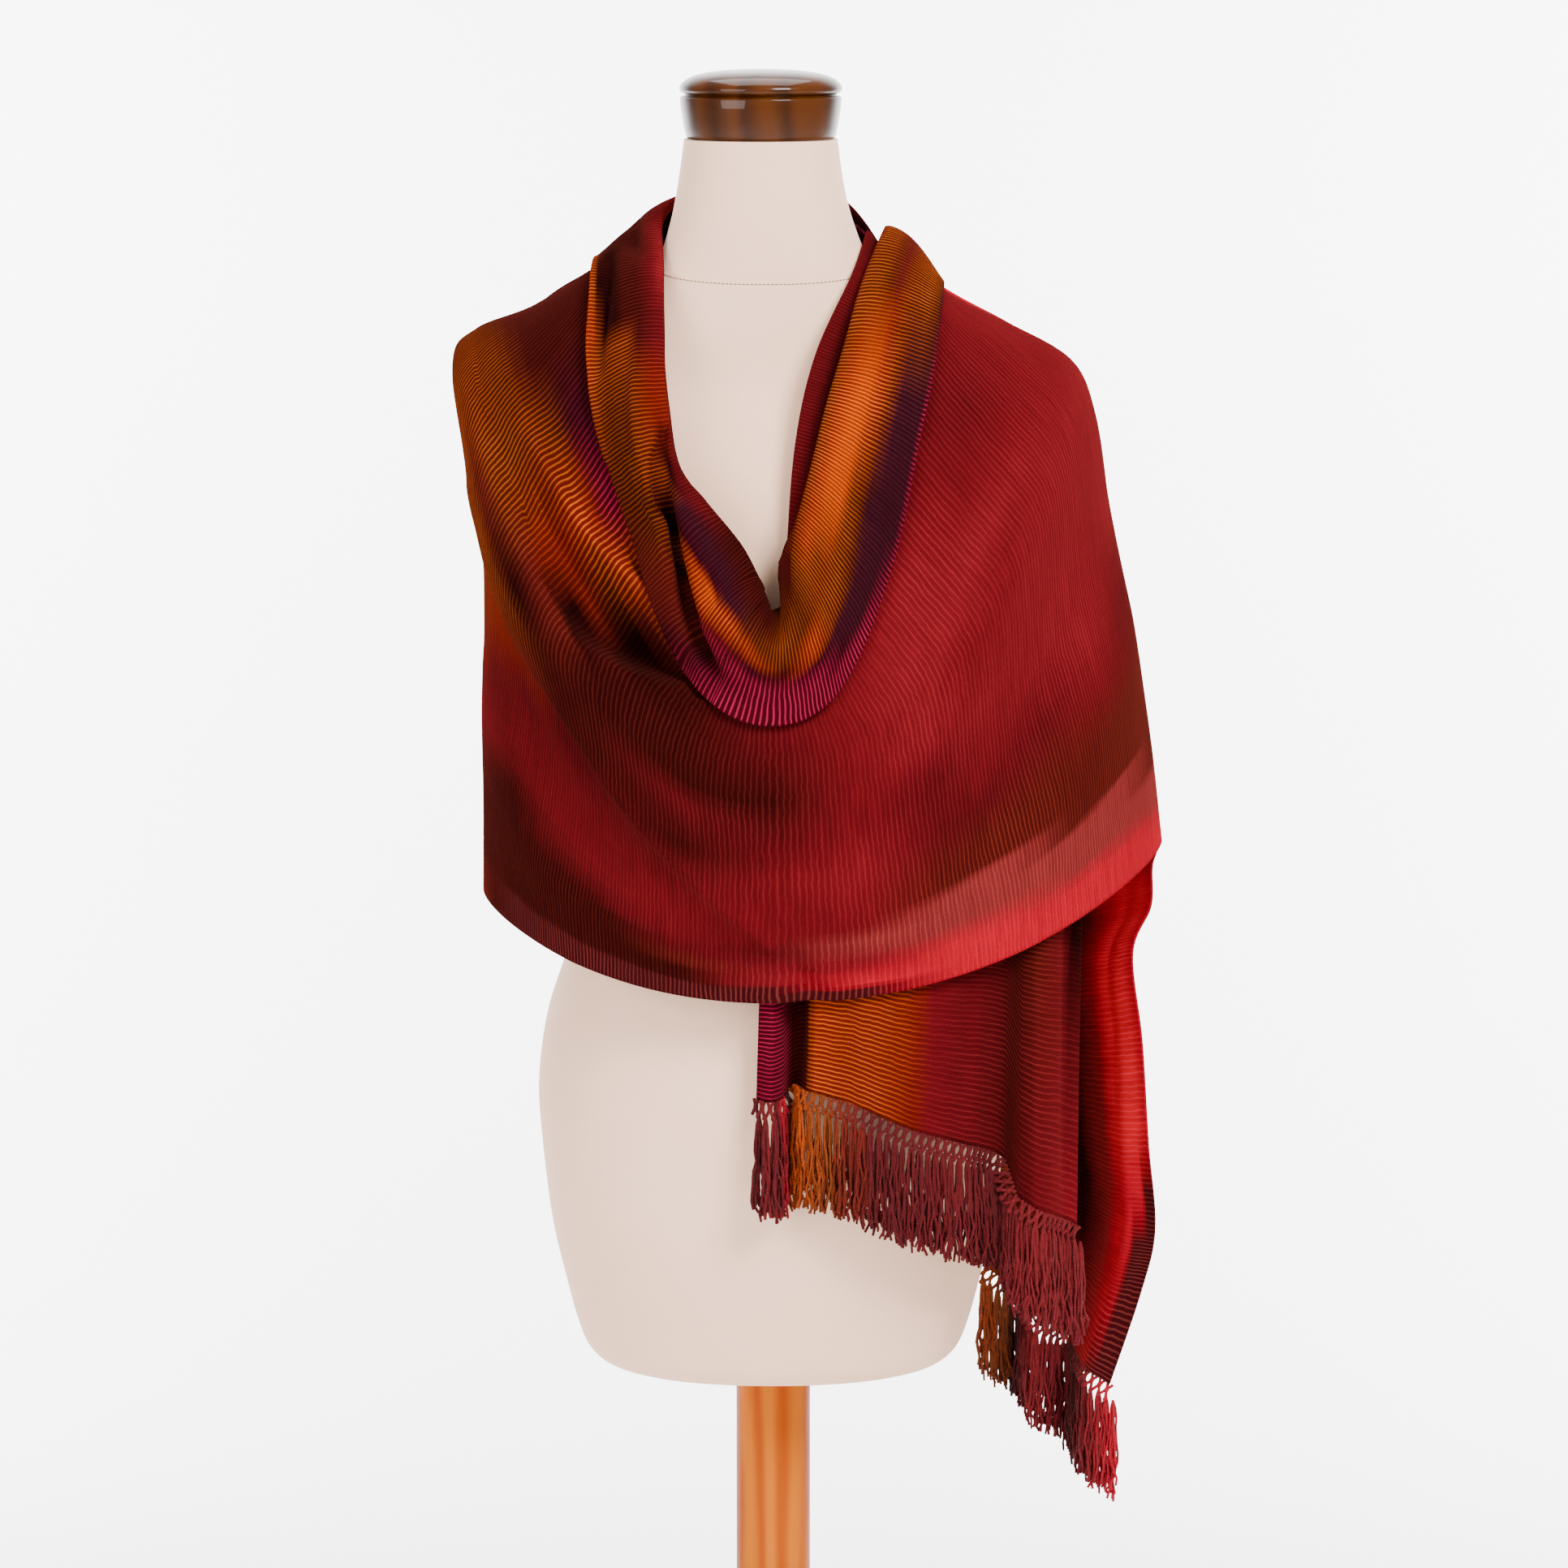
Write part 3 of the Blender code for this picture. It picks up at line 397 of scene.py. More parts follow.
def collar_point(u, v):
    """The turned-down band: an inner leg, a rounded crest, and the lapel down to its edge."""
    last = len(COLLAR_SECTIONS) - 1
    place = u * last
    inner, outer = collar_edges(place)
    inner_before, outer_before = collar_edges(np.maximum(place - 0.05, 0.0))
    inner_after, outer_after = collar_edges(np.minimum(place + 0.05, last))
    forward = inner_after + outer_after - inner_before - outer_before
    across = outer - inner
    outwards = unit(np.cross(across, forward))
    lift, leg, groove_place, groove_depth = (
        glide(column(COLLAR_SECTIONS, number), place)[..., None] for number in (5, 6, 7, 8))
    turn = np.maximum(1.0 - v / COLLAR_CREST, 0.0)[..., None]
    reach = np.interp(place, column(COLLAR_LEG_REACH, 0), column(COLLAR_LEG_REACH, 1))
    under = inner + unit(across) * (0.0035 - reach[..., None]) * turn - outwards * leg * turn
    share = np.clip((v - COLLAR_CREST) / (1.0 - COLLAR_CREST), 0.0, 1.0)[..., None]
    roll = lift * np.sin(math.pi * share ** 0.70)
    groove = groove_depth * bump_shape(share - groove_place, 0.11)
    over = inner + across * share + outwards * (roll - groove)
    return np.where((v < COLLAR_CREST)[..., None], under, over)


def front_depth(x, z):
    """How far forward the front's inner face lies at places seen from the front."""
    low, high = np.zeros_like(x), np.full_like(x, float(HEM_RING))
    for _ in range(14):
        ring = 0.5 * (low + high)
        half_width = glide(column(CAPE_RINGS, 2), ring)
        side = np.clip(np.maximum(x, 0.0) / half_width, 0.0, 1.0) ** (1.0 / CAPE_POWER)
        angle = np.arcsin(side)
        height = cape_ring(angle, ring)[..., 2]
        low = np.where(height > z, ring, low)
        high = np.where(height > z, high, ring)
    known = (np.abs(height - z) < 0.004) & (angle < 1.5)
    return known, front_point(angle, ring)[..., 1] + CLOTH_THICKNESS


def end_a_point(u, v):
    """The front end: u runs across from its left edge, v down from the shoulder."""
    place = v * (len(END_A_SECTIONS) - 1)
    row = [glide(column(END_A_SECTIONS, number), place)[..., None] for number in range(9)]
    left, right = np.concatenate(row[0:3], -1), np.concatenate(row[3:6], -1)
    arch = (4.0 * u * (1.0 - u))[..., None]
    rise = np.concatenate((np.zeros_like(row[6]), row[6], row[7]), -1)
    spot = left + (right - left) * u[..., None] + rise * arch
    pleat = sum(height * bump_shape(u - middle, width) for middle, width, height in END_A_PLEATS)
    spot[..., 1] -= pleat * row[8][..., 0]
    lower = np.interp(u, column(END_A_EDGE, 0), column(END_A_EDGE, 1))
    spot[..., 2] += lower * row[8][..., 0]
    known, limit = front_depth(spot[..., 0], spot[..., 2])
    known &= spot[..., 2] > END_A_FREE_BELOW
    pushed = np.maximum(spot[..., 1], limit + FRONT_LAYER_GAP)
    spot[..., 1] = np.where(known, pushed, spot[..., 1])
    return spot


def end_b_upper(u, ring):
    """The back end above the hem, on the cape's own surface outside the back."""
    angle = SIDE_SEAM + (END_B_INNER_ANGLE - SIDE_SEAM) * u
    ring = np.maximum(ring, 0.9)
    lift = 0.004 * np.sin(math.pi * u)
    return cape_ring(angle, ring) + cape_normal(angle, ring) * lift[..., None]


def end_b_lower(u, row):
    """One section of the back end below the hem."""
    right, left = np.array(row[0:3]), np.array(row[3:6])
    pleat = sum(height * bump_shape(u - middle, width) for middle, width, height in END_B_PLEATS)
    spot = right + (left - right) * u[..., None]
    spot[..., 1] += row[6] * 4.0 * u * (1.0 - u) + pleat * row[7]
    spot[..., 0] += pleat * row[7] * 0.3
    return spot


def end_b_point(u, v):
    """The back end: u runs from its right edge to its inner edge, v down from the shoulder."""
    place = v * (HEM_RING + len(END_B_SECTIONS))
    upper = end_b_upper(u, np.minimum(place, float(HEM_RING)))
    sections = [end_b_upper(u, np.full_like(u, HEM_RING + drop)) for drop in (-1.0, 0.0)]
    sections = np.stack(sections + [end_b_lower(u, row) for row in END_B_SECTIONS])
    last = len(sections) - 1
    free = np.clip(1.0 + place - HEM_RING, 1.0, float(last))
    index = np.minimum(free.astype(int), last - 1)
    near = [np.take_along_axis(
        sections, np.clip(index + shift, 0, last)[None, ..., None], axis=0)[0]
        for shift in (-1, 0, 1, 2)]
    lower = cubic(near, (free - index)[..., None])
    return np.where((place <= HEM_RING)[..., None], upper, lower)


def linear(hex_colour):
    """An sRGB hex colour as linear red, green, blue and alpha."""
    parts = [int(hex_colour[start:start + 2], 16) / 255.0 for start in (1, 3, 5)]
    return [part / 12.92 if part <= 0.04045 else ((part + 0.055) / 1.055) ** 2.4
            for part in parts] + [1.0]


class NodeMaker:
    """Adds nodes to a tree and fills their inputs, by name or number.

    A value that is a node or a socket is linked, and any other is set on the input itself.
    """

    def __init__(self, tree, prefix="ShaderNode"):
        self.tree, self.prefix = tree, prefix

    def __call__(self, kind, sockets=None, **settings):
        node = self.tree.nodes.new(self.prefix + kind)
        for name, value in settings.items():
            setattr(node, name, value)
        for key, value in (sockets or {}).items():
            if isinstance(value, bpy.types.Node):
                value = value.outputs[0]
            if isinstance(value, bpy.types.NodeSocket):
                self.tree.links.new(value, node.inputs[key])
            else:
                node.inputs[key].default_value = value
        return node

    def math(self, operation, *values):
        return self("Math", dict(enumerate(values)), operation=operation)

    def vector(self, operation, first, second):
        slot = "Scale" if operation == "SCALE" else 1
        return self("VectorMath", {0: first, slot: second}, operation=operation)

    def noise(self, vector, scale, detail):
        return self("TexNoise", {"Vector": vector, "Scale": scale, "Detail": detail})

    def scaled(self, vector, scale, **more):
        return self("Mapping", {"Vector": vector, "Scale": scale, **more})

    def ramp(self, place, stops):
        """A colour ramp through stops of position and linear colour."""
        ramp = self("ValToRGB", {0: place})
        points = ramp.color_ramp.elements
        while len(points) < len(stops):
            points.new(0.5)
        for point, (position, colour) in zip(points, stops):
            point.position = position
            point.color = colour
        return ramp

    def finish(self, sockets):
        """A principled shader with these inputs, on the material's output."""
        self("OutputMaterial", {"Surface": self("BsdfPrincipled", sockets)})


def new_material(name):
    """An empty node material and the maker of its nodes."""
    material = bpy.data.materials.new(name)
    material.use_nodes = True
    material.node_tree.nodes.clear()
    return material, NodeMaker(material.node_tree)


# Dyed yarns of the shawl, judged: the ground between the ribs, and the raised ribs
YARNS = {
    "bright orange": ("#762000", "#be5002"), "orange": ("#560f02", "#b84c0a"),
    "burnt": ("#4e1003", "#9a3c0e"), "tan": ("#361004", "#924310"),
    "rust": ("#360d04", "#8a3a0e"), "olive": ("#2c0b03", "#6e3009"),
    "brown": ("#360a08", "#5a1c14"), "brick": ("#480b06", "#7a2410"),
    "rose brown": ("#5e1a1c", "#7e2c26"), "red": ("#560c12", "#6e181d"),
    "deep red": ("#4a090e", "#601216"), "crimson": ("#8c0418", "#a21024"),
    "scarlet": ("#a40a18", "#c02030"), "wine": ("#3c060a", "#561216"),
    # The darkest pair stands for a black maroon yarn and also for painted shade, laid in hollows,
    # grooves and behind folds
    "maroon": ("#220404", "#3c100d"), "black maroon": ("#100202", "#1e0504"),
    "plum": ("#20060c", "#32101a"), "magenta": ("#34040d", "#921638"),
    "purple wine": ("#1e0308", "#3c0b18"), "selvedge": ("#2c070a", "#5c2320"),
}

# Some of the darkest bands in the charts below are painted shade, noted at each chart
# The charts give, for each station along a stretch of cloth, the names of yarns across it, each
# with the places where that yarn is pure. First the front, at angles from its centre, from the
# collar (0) to the hem (1)
FRONT_BANDS = {
    -88.0: "maroon .3, olive .38 .48, rust .56 .73, brick .78, deep red .8 .86, maroon .9 .96, "
           "brick 1",
    -70.0: "maroon .28, olive .34, rust .44 .66, brick .72, wine .77, deep red .83, maroon .87",
    -58.0: "purple wine .235, olive .27, rust .31, tan .37 .45, brown .5, tan .54, rust .6, "
           "brick .64 .69, wine .74, deep red .8, maroon .85 .96, selvedge .966",
    # At stations -45 to -30 the darkest band, near .27 to .5, is painted shade in the pocket
    # under the front's folds
    -45.0: "purple wine 0, magenta .19 .22, brick .245, orange .275, brick .32 .39, brown .45, "
           "black maroon .5, olive .54, brown .6, maroon .65, wine .72, deep red .78 .83, "
           "maroon .89 .96, selvedge .966",
    -38.0: "magenta .19, burnt .21, orange .235, rust .28, brick .34, black maroon .385 .425, "
           "brown .44, maroon .55 .65, wine .72, deep red .78 .84, maroon .89 .96, selvedge .966",
    -30.0: "red .2, burnt .215, brown .24, black maroon .27 .33, maroon .37 .62, wine .7, "
           "deep red .77 .84, wine .875, maroon .9 .96, selvedge .966",
    -15.0: "maroon .5, wine .56, maroon .66, wine .73, deep red .79 .87, wine .9, brown .92, "
           "maroon .94 .96, selvedge .966",
    0.0: "wine .3, maroon .5, wine .62, deep red .7 .85, wine .88, red .935 .955, selvedge .964",
    12.0: "wine 0, deep red .25 .6, red .72, deep red .84, rose brown .87, red .92, "
          "crimson .972, selvedge .98",
    25.0: "wine 0, red .22 .5, wine .6 .7, brown .82, rose brown .845 .9, crimson .935",
    35.0: "wine 0, red .2 .36, deep red .43, red .56, deep red .66, wine .73, brown .78 .825, "
          "rose brown .835 .9, crimson .945",
    48.0: "wine 0, deep red .25, red .32, deep red .37, red .46 .62, wine .7, brown .78 .865, "
          "rose brown .875 .93, crimson .955",
    62.0: "wine .2, deep red .32, red .42 .68, deep red .74, brown .8 .855, "
          "rose brown .865 .93, crimson .955",
    80.0: "deep red .3, red .42 .6, wine .7, brown .8 .898, rose brown .908 .94, crimson .97",
}

# Bands across the back from the neck (0) to the hem (1), from the left seam to the right
BACK_BANDS = {
    0.0: "maroon .38, olive .46, rust .52 .66, brick .75, wine .78, red .86, maroon .9, brown 1",
    0.35: "plum 0, magenta .1, orange .16, rust .26, brick .4, deep red .55, maroon .7, "
          "red .84, maroon .93, black maroon 1",
    0.75: "plum 0, magenta .08, orange .15, tan .24, wine .34, red .6, deep red .76, "
          "rose brown .88, crimson 1",
}

# Bands of the collar from its inner leg (0) to its outer selvedge (1), by section number
COLLAR_BANDS = {
    0.0: "wine 0, maroon .6, plum 1",
    # At 3.2 to 4.7 the darkest band, .7 to .93, is painted shade in the hollow behind the rolled
    # rim
    3.2: "deep red 0, wine .22, maroon .5, black maroon .8, maroon .94, rust 1",
    4.0: "red .26, wine .34, maroon .5 .66, black maroon .74 .93, tan .95, orange 1",
    4.7: "red 0, wine .26, maroon .45 .62, black maroon .7 .88, rust .93, orange .95",
    5.1: "deep red 0, wine .26, maroon .46, rust .58 .8, tan .92, orange 1",
    6.0: "wine 0, brick .24 .34, rust .48, olive .6 .8, rust .94",
    # From 7.0 to 9.8 the darkest band, from .31 to .8, is painted shade in the groove beside the
    # left lapel
    7.0: "maroon 0, wine .22, black maroon .31, rust .37 .48, olive .6",
    8.0: "maroon 0, wine .28, plum .38, purple wine .5, black maroon .55 .6, olive .64, brown 1",
    8.7: "black maroon 0, maroon .28, plum .42, purple wine .52, orange .57, burnt .65, "
         "black maroon .7, brown .75",
    9.2: "black maroon 0, maroon .28, plum .4, purple wine .49, bright orange .54, orange .63, "
         "wine .7, black maroon .76, brown .82, purple wine 1",
    9.8: "black maroon 0, maroon .3, plum .44, orange .52, burnt .58, wine .64, magenta .74, "
         "black maroon .8, purple wine .86, magenta 1",
    10.5: "black maroon 0, maroon .3, olive .44, burnt .54, purple wine .62, magenta .7",
    11.2: "black maroon 0, olive .24, tan .38, olive .5, maroon .58, magenta .72",
    12.0: "maroon .19, olive .25 .44, orange .56, burnt .64, purple wine .7, magenta .78",
    12.8: "maroon .19, tan .24 .36, rust .46, tan .56, rust .66, plum .72, purple wine .84, "
          "magenta .9",
    13.5: "maroon 0, rust .2, orange .3, tan .4, rust .48, tan .6, olive .68, plum .74 .88, "
          "magenta .95",
    15.0: "maroon 0, brown .19, tan .22, orange .3, bright orange .38 .48, tan .55, olive .62, "
          "plum .68 .95, magenta 1",
    16.5: "maroon 0, brown .19, tan .22, orange .32, bright orange .42 .5, orange .58, "
          "rust .66, plum .76 .96, magenta 1",
    18.0: "wine 0, brown .2, tan .24 .36, olive .46, brown .54, rust .64, tan .86, olive .95, "
          "plum 1",
    20.0: "wine 0, brown .22, tan .26, brown .46 .56, tan .72",
}

# Bands of the front end from its left edge (0) to its right edge (1), top and bottom
END_A_BANDS = {
    0.0: "wine 0, maroon .1, wine .3, deep red .6, wine 1",
    # From .55 down, the dark band near .1 to .15 is painted shade in the recess beside the strip;
    # at .8 and 1 the wine and maroon near .72 to .8 are painted shade in the pleat's trough, and
    # the darkest band at .97 is painted shade at the fold of the right edge
    0.55: "wine .07, plum .1, rust .125, brick .35, deep red .55, wine 1",
    0.8: "magenta .085, maroon .105 .15, rust .16, orange .18, burnt .3 .45, deep red .54, "
         "wine .73, maroon .8, brown .86, deep red .95, black maroon .97",
    1.0: "magenta .085, maroon .105 .15, rust .16, orange .18, burnt .26 .38, brick .46, "
         "deep red .52, wine .72, maroon .78, wine .84, red .95",
}

# Bands of the back end from its right edge (0) to its inner edge (1), top and bottom
END_B_BANDS = {
    0.0: "deep red 0, crimson .12, red .3, wine .6, rust .8, plum 1",
    0.52: "red 0, crimson .06, scarlet .14, crimson .22, deep red .32, wine .6, rust .8, "
          "orange .92, magenta 1",
    # From .62 to .89 the bands darken from deep red near .25 to the darkest near .31 to .38:
    # painted shadow where the back end turns away behind the front end
    0.62: "crimson 0, scarlet .04 .11, crimson .18, deep red .25, black maroon .31 .38, "
          "maroon .44, wine .6, rust .8, orange .92, magenta 1",
    0.8: "crimson 0, scarlet .04 .12, red .2, deep red .27, black maroon .33 .38, maroon .44, "
         "wine .6, maroon .75, rust .88, tan 1",
    0.845: "selvedge .04, crimson .05 .13, red .2, deep red .27, black maroon .33 .38, "
           "maroon .44, wine .6, rust .88, tan 1",
    0.89: "selvedge .095, crimson .11 .17, red .23, wine .3, black maroon .38, maroon .5, "
          "wine .6, rust .88, tan 1",
    1.0: "selvedge .14, red .16, deep red .3, wine .45, maroon .62, plum .78, olive .88, tan .95",
}


def read_stops(text):
    """Bands written as names of yarns, each with the places where that yarn is pure."""
    stops = []
    for part in text.split(", "):
        words = part.split()
        places = [float(word) for word in words if not word[0].isalpha()]
        yarn = " ".join(words[:-len(places)])
        stops += [(place, yarn) for place in places]
    return stops


def banded_chart(node, bands, along, across, layer):
    """The dyed bands, with painted shade among them, as ramps across the cloth, blended from
    station to station along it.
    """
    colour = before = None
    for station, text in bands.items():
        ramp = node.ramp(across, [(position, linear(YARNS[yarn][layer]))
                                  for position, yarn in read_stops(text)])
        if colour is None:
            colour = ramp
        else:
            blend = node("MapRange", {"Value": along, "From Min": before, "From Max": station})
            colour = node("Mix", {0: blend, 6: colour, 7: ramp}, data_type="RGBA").outputs[2]
        before = station
    return colour


def banded_cloth(name, bands, settings):
    """Hand-woven wool and chenille: dyed bands along the cloth with some painted shade among
    them, ribs across it, a soft nap.

    The first UV map places the bands (along, across) and the second holds metres of cloth.
    """
    material, node = new_material(name)
    place = node("SeparateXYZ", {0: node("UVMap", uv_map="bands")})
    weave = node("UVMap", uv_map="weave")
    metres = node("SeparateXYZ", {0: weave})

    # Dye that wanders a little: streaks 120 mm long and 6 mm wide shift the bands' edges
    streaks = node.noise(node.scaled(weave, (8.0, 160.0, 1.0)), 1.0, 3.0)
    wander = node.math("SUBTRACT", streaks, 0.5)
    across = node.math("MULTIPLY_ADD", wander, settings.dye_wander, place.outputs["Y"])
    ground, raised = (banded_chart(node, bands, place.outputs["X"], across, layer)
                      for layer in (0, 1))

    # Ribs across the cloth, a raised yarn every few millimetres that wavers by a third
    wobble = node.noise(weave, 60.0, 2.0)
    waved = node.math("MULTIPLY_ADD", wobble, 0.0022, metres.outputs["X"])
    turns = node.math("MULTIPLY", waved, 2.0 * math.pi / settings.rib_pitch)
    rib = node("MapRange", {
        "Value": node.math("COSINE", turns), "From Min": 0.05, "From Max": 0.95},
        interpolation_type="SMOOTHSTEP")

    # Warp yarns along the cloth that break each rib into small beads
    beads_turn = node.math("MULTIPLY", metres.outputs["Y"], 2.0 * math.pi / settings.yarn_pitch)
    beads = node.math("MULTIPLY_ADD", node.math("COSINE", beads_turn), 0.12, 0.88)
    beaded = node.math("MULTIPLY", rib, beads)

    # Where the ribs show more and less, in patches some 60 mm across
    strength = node("MapRange", {
        "Value": node.noise(weave, 16.0, 1.0), "From Min": 0.3, "From Max": 0.7,
        "To Min": 0.55, "To Max": 1.0})
    shown = node.math("MULTIPLY", beaded, strength)
    dyed = node("Mix", {0: shown, 6: ground, 7: raised}, data_type="RGBA").outputs[2]

    # The nap: fine fibres, lighter and darker by a tenth, and slubs along the yarns
    fibres = node.noise(weave, 900.0, 3.0)
    slubs = node.noise(node.scaled(weave, (330.0, 26.0, 1.0)), 1.0, 2.0)
    light = node.math("MULTIPLY_ADD", node.math("ADD", fibres, slubs), 0.60, 0.40)
    shade = node("HueSaturation", {"Value": light, "Color": dyed})
    relief = node.math("MULTIPLY_ADD", fibres, 0.35, beaded)
    bump = node("Bump", {"Height": relief, "Strength": 0.55, "Distance": 0.0006})
    node.finish({
        "Base Color": shade, "Normal": bump, "Roughness": 0.88, "IOR": 1.46,
        "Specular IOR Level": 0.0, "Sheen Weight": settings.sheen, "Sheen Roughness": 0.5,
        "Sheen Tint": linear("#e8786a")})
    return material


def fringe_yarn(name, bands):
    """Plied wool yarn of the fringes, coloured along the end by the stored place."""
    material, node = new_material(name)
    stops = []
    for position, yarn in read_stops(bands):
        ground, rib = (np.array(linear(colour)) for colour in YARNS[yarn])
        stops.append((position, ground * 0.65 + rib * 0.35))
    place = node("Attribute", attribute_name="end_place")
    dyed = node.ramp(place.outputs["Fac"], stops)
    where = node("TexCoord").outputs["Object"]
    plies = node("TexWave", {
        "Vector": where, "Scale": 320.0, "Distortion": 3.0, "Detail": 1.0},
        bands_direction="DIAGONAL").outputs["Fac"]
    fuzz = node.noise(where, 260.0, 2.0)
    light = node.math("MULTIPLY_ADD", plies, 0.45, fuzz)
    value = node.math("MULTIPLY_ADD", light, 0.80, 0.40)
    shade = node("HueSaturation", {"Value": value, "Color": dyed})
    bump = node("Bump", {"Height": plies, "Strength": 0.5, "Distance": 0.0004})
    node.finish({"Base Color": shade, "Normal": bump, "Roughness": 0.8,
                 "Specular IOR Level": 0.10, "Sheen Weight": 0.02})
    return material


def form_fabric():
    """Fine cotton jersey stretched over the form: matte, cream, with a weave of 0.5 mm."""
    material, node = new_material("cotton_jersey_cover")
    where = node("TexCoord").outputs["Object"]
    blotch = node.noise(where, 6.0, 3.0)
    cream = node.ramp(blotch, [(0.3, linear("#f0c0a0")), (0.7, linear("#f8caac"))])
    weave = node.noise(where, 1400.0, 1.0)
    bump = node("Bump", {"Height": weave, "Strength": 0.12, "Distance": 0.0005})
    node.finish({"Base Color": cream, "Normal": bump, "Roughness": 0.85,
                 "Specular IOR Level": 0.25, "Sheen Weight": 0.12})
    return material


def turned_wood(name, dark, light, roughness, coat, ring_scale):
    """Turned pine or beech under varnish: long grain bands with fine darker lines."""
    material, node = new_material(name)
    where = node("TexCoord").outputs["Object"]
    stretch = node.scaled(where, (1.0, 1.0, 0.12), Rotation=(0.05, 0.12, 0.3))
    rings = node("TexWave", {
        "Vector": stretch, "Scale": ring_scale, "Distortion": 7.0, "Detail": 3.0,
        "Detail Scale": 1.2}, wave_type="BANDS", bands_direction="X").outputs["Fac"]
    pores = node.noise(node.scaled(where, (700.0, 700.0, 14.0)), 1.0, 2.0)
    grain = node.math("MULTIPLY_ADD", pores, 0.25, rings)
    node.finish({"Base Color": node.ramp(grain, [(0.12, linear(dark)), (1.0, linear(light))]),
                 "Roughness": roughness, "Specular IOR Level": 0.06, "Coat Weight": coat,
                 "Coat Roughness": 0.05})
    return material


def mesh_object(name, mesh, material):
    """A finished piece at the origin, riding on the one body."""
    piece = bpy.data.objects.new(name, mesh)
    mesh.materials.clear()
    mesh.materials.append(material)
    bpy.context.scene.collection.objects.link(piece)
    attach(piece, "root")
    return piece


def sheet_mesh(name, points, bands, weave):
    """A mesh from a grid of points (across, down), with its two UV maps."""
    across, down = points.shape[0] - 1, points.shape[1] - 1
    corners = np.arange((across + 1) * (down + 1)).reshape(across + 1, down + 1)
    faces = np.stack((corners[:-1, :-1], corners[:-1, 1:], corners[1:, 1:], corners[1:, :-1]),
                     axis=-1).reshape(-1, 4)
    mesh = bpy.data.meshes.new(name)
    mesh.from_pydata(points.reshape(-1, 3).tolist(), [], faces.tolist())
    loops = faces.reshape(-1)
    for label, values in (("bands", bands), ("weave", weave)):
        layer = mesh.uv_layers.new(name=label)
        layer.data.foreach_set("uv", values.reshape(-1, 2)[loops].ravel())
    mesh.shade_smooth()
    return mesh


def cloth_piece(context, names, point, cells, bands, weave, chart, creases, **sheet):
    """A stretch of the shawl: its surface at fine steps, creased, and thickened inwards.

    The names are those of the piece, of its material and of the solid it replaces. For each
    place on the stretch, point gives where it lies, bands where it is in the colour chart,
    and weave the metres of cloth along it and across it.
    """
    name, cloth_name, replaced = names
    cloth = banded_cloth(cloth_name, chart, context.scene.shawl)
    u, v = np.meshgrid(np.linspace(0.0, 1.0, cells[0] + 1), np.linspace(0.0, 1.0, cells[1] + 1),
                       indexing="ij")
    points = point(u, v)
    metres = np.stack(weave(u, v), -1)
    outwards = unit(np.cross(np.gradient(points, axis=1), np.gradient(points, axis=0)))
    points += outwards * fold_height(creases, metres[..., 0], metres[..., 1])[..., None]
    mesh = sheet_mesh(name, points, np.stack(bands(u, v), -1), metres)
    piece = mesh_object(name, mesh, cloth)
    thick = piece.modifiers.new("cloth thickness", "SOLIDIFY")
    thick.thickness = CLOTH_THICKNESS
    thick.offset = -1.0
    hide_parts(replaced)
    return {"FINISHED"}


class ShawlSettings(bpy.types.PropertyGroup):
    """Weave of the shawl."""

    rib_pitch: FloatProperty(
        name="Rib pitch", description="Distance from one raised yarn to the next",
        default=0.0029, unit="LENGTH")
    yarn_pitch: FloatProperty(
        name="Yarn pitch", description="Distance from one warp yarn to the next",
        default=0.0009, unit="LENGTH")
    dye_wander: FloatProperty(
        name="Dye wander", description="Share of the width by which a band's edge strays",
        default=0.03, min=0.0, max=0.2)
    sheen: FloatProperty(
        name="Sheen", description="Soft light of the nap at grazing angles", default=0.04,
        min=0.0, max=1.0)


class FringeSettings(bpy.types.PropertyGroup):
    """Knotted fringes of the two ends."""

    knot_pitch: FloatProperty(
        name="Knot pitch", description="Distance between knots along the cloth's edge",
        default=0.0056, unit="LENGTH")
    yarns: IntProperty(
        name="Yarns per knot", description="Yarns that hang from each knot of the last row",
        default=12, min=1)
    yarn_length: FloatProperty(
        name="Yarn length", description="Length of the free yarns", default=0.064,
        unit="LENGTH")
    yarn_radius: FloatProperty(
        name="Yarn radius", description="Radius of a plied yarn", default=0.00092,
        unit="LENGTH")
    seed: IntProperty(name="Seed", description="Seed of the yarns' lie", default=7)


class StandSettings(bpy.types.PropertyGroup):
    """Stand, neck cap and form."""

    pole_radius: FloatProperty(
        name="Pole radius", description="Radius of the wooden pole", default=0.0245,
        unit="LENGTH")
    base_radius: FloatProperty(
        name="Base radius", description="Radius of the round base", default=0.175,
        unit="LENGTH")
    seam_stitches: IntProperty(
        name="Seam stitches", description="Stitches round the base of the neck",
        default=150, min=8)


class StageSettings(bpy.types.PropertyGroup):
    """Floor, lights and camera."""

    focal_length: FloatProperty(
        name="Focal length", description="Focal length of the lens on a 36 mm sensor",
        default=126.6, min=10.0)
    distance: FloatProperty(
        name="Distance", description="From the lens to the point it is aimed at",
        default=3.6, unit="LENGTH")
    elevation: FloatProperty(
        name="Elevation", description="Angle of the camera above its target",
        default=math.radians(9.0), subtype="ANGLE")
    target: FloatVectorProperty(
        name="Target", description="Point that the camera is aimed at",
        default=(0.00716, 0.0, 1.0432), subtype="XYZ", size=3)


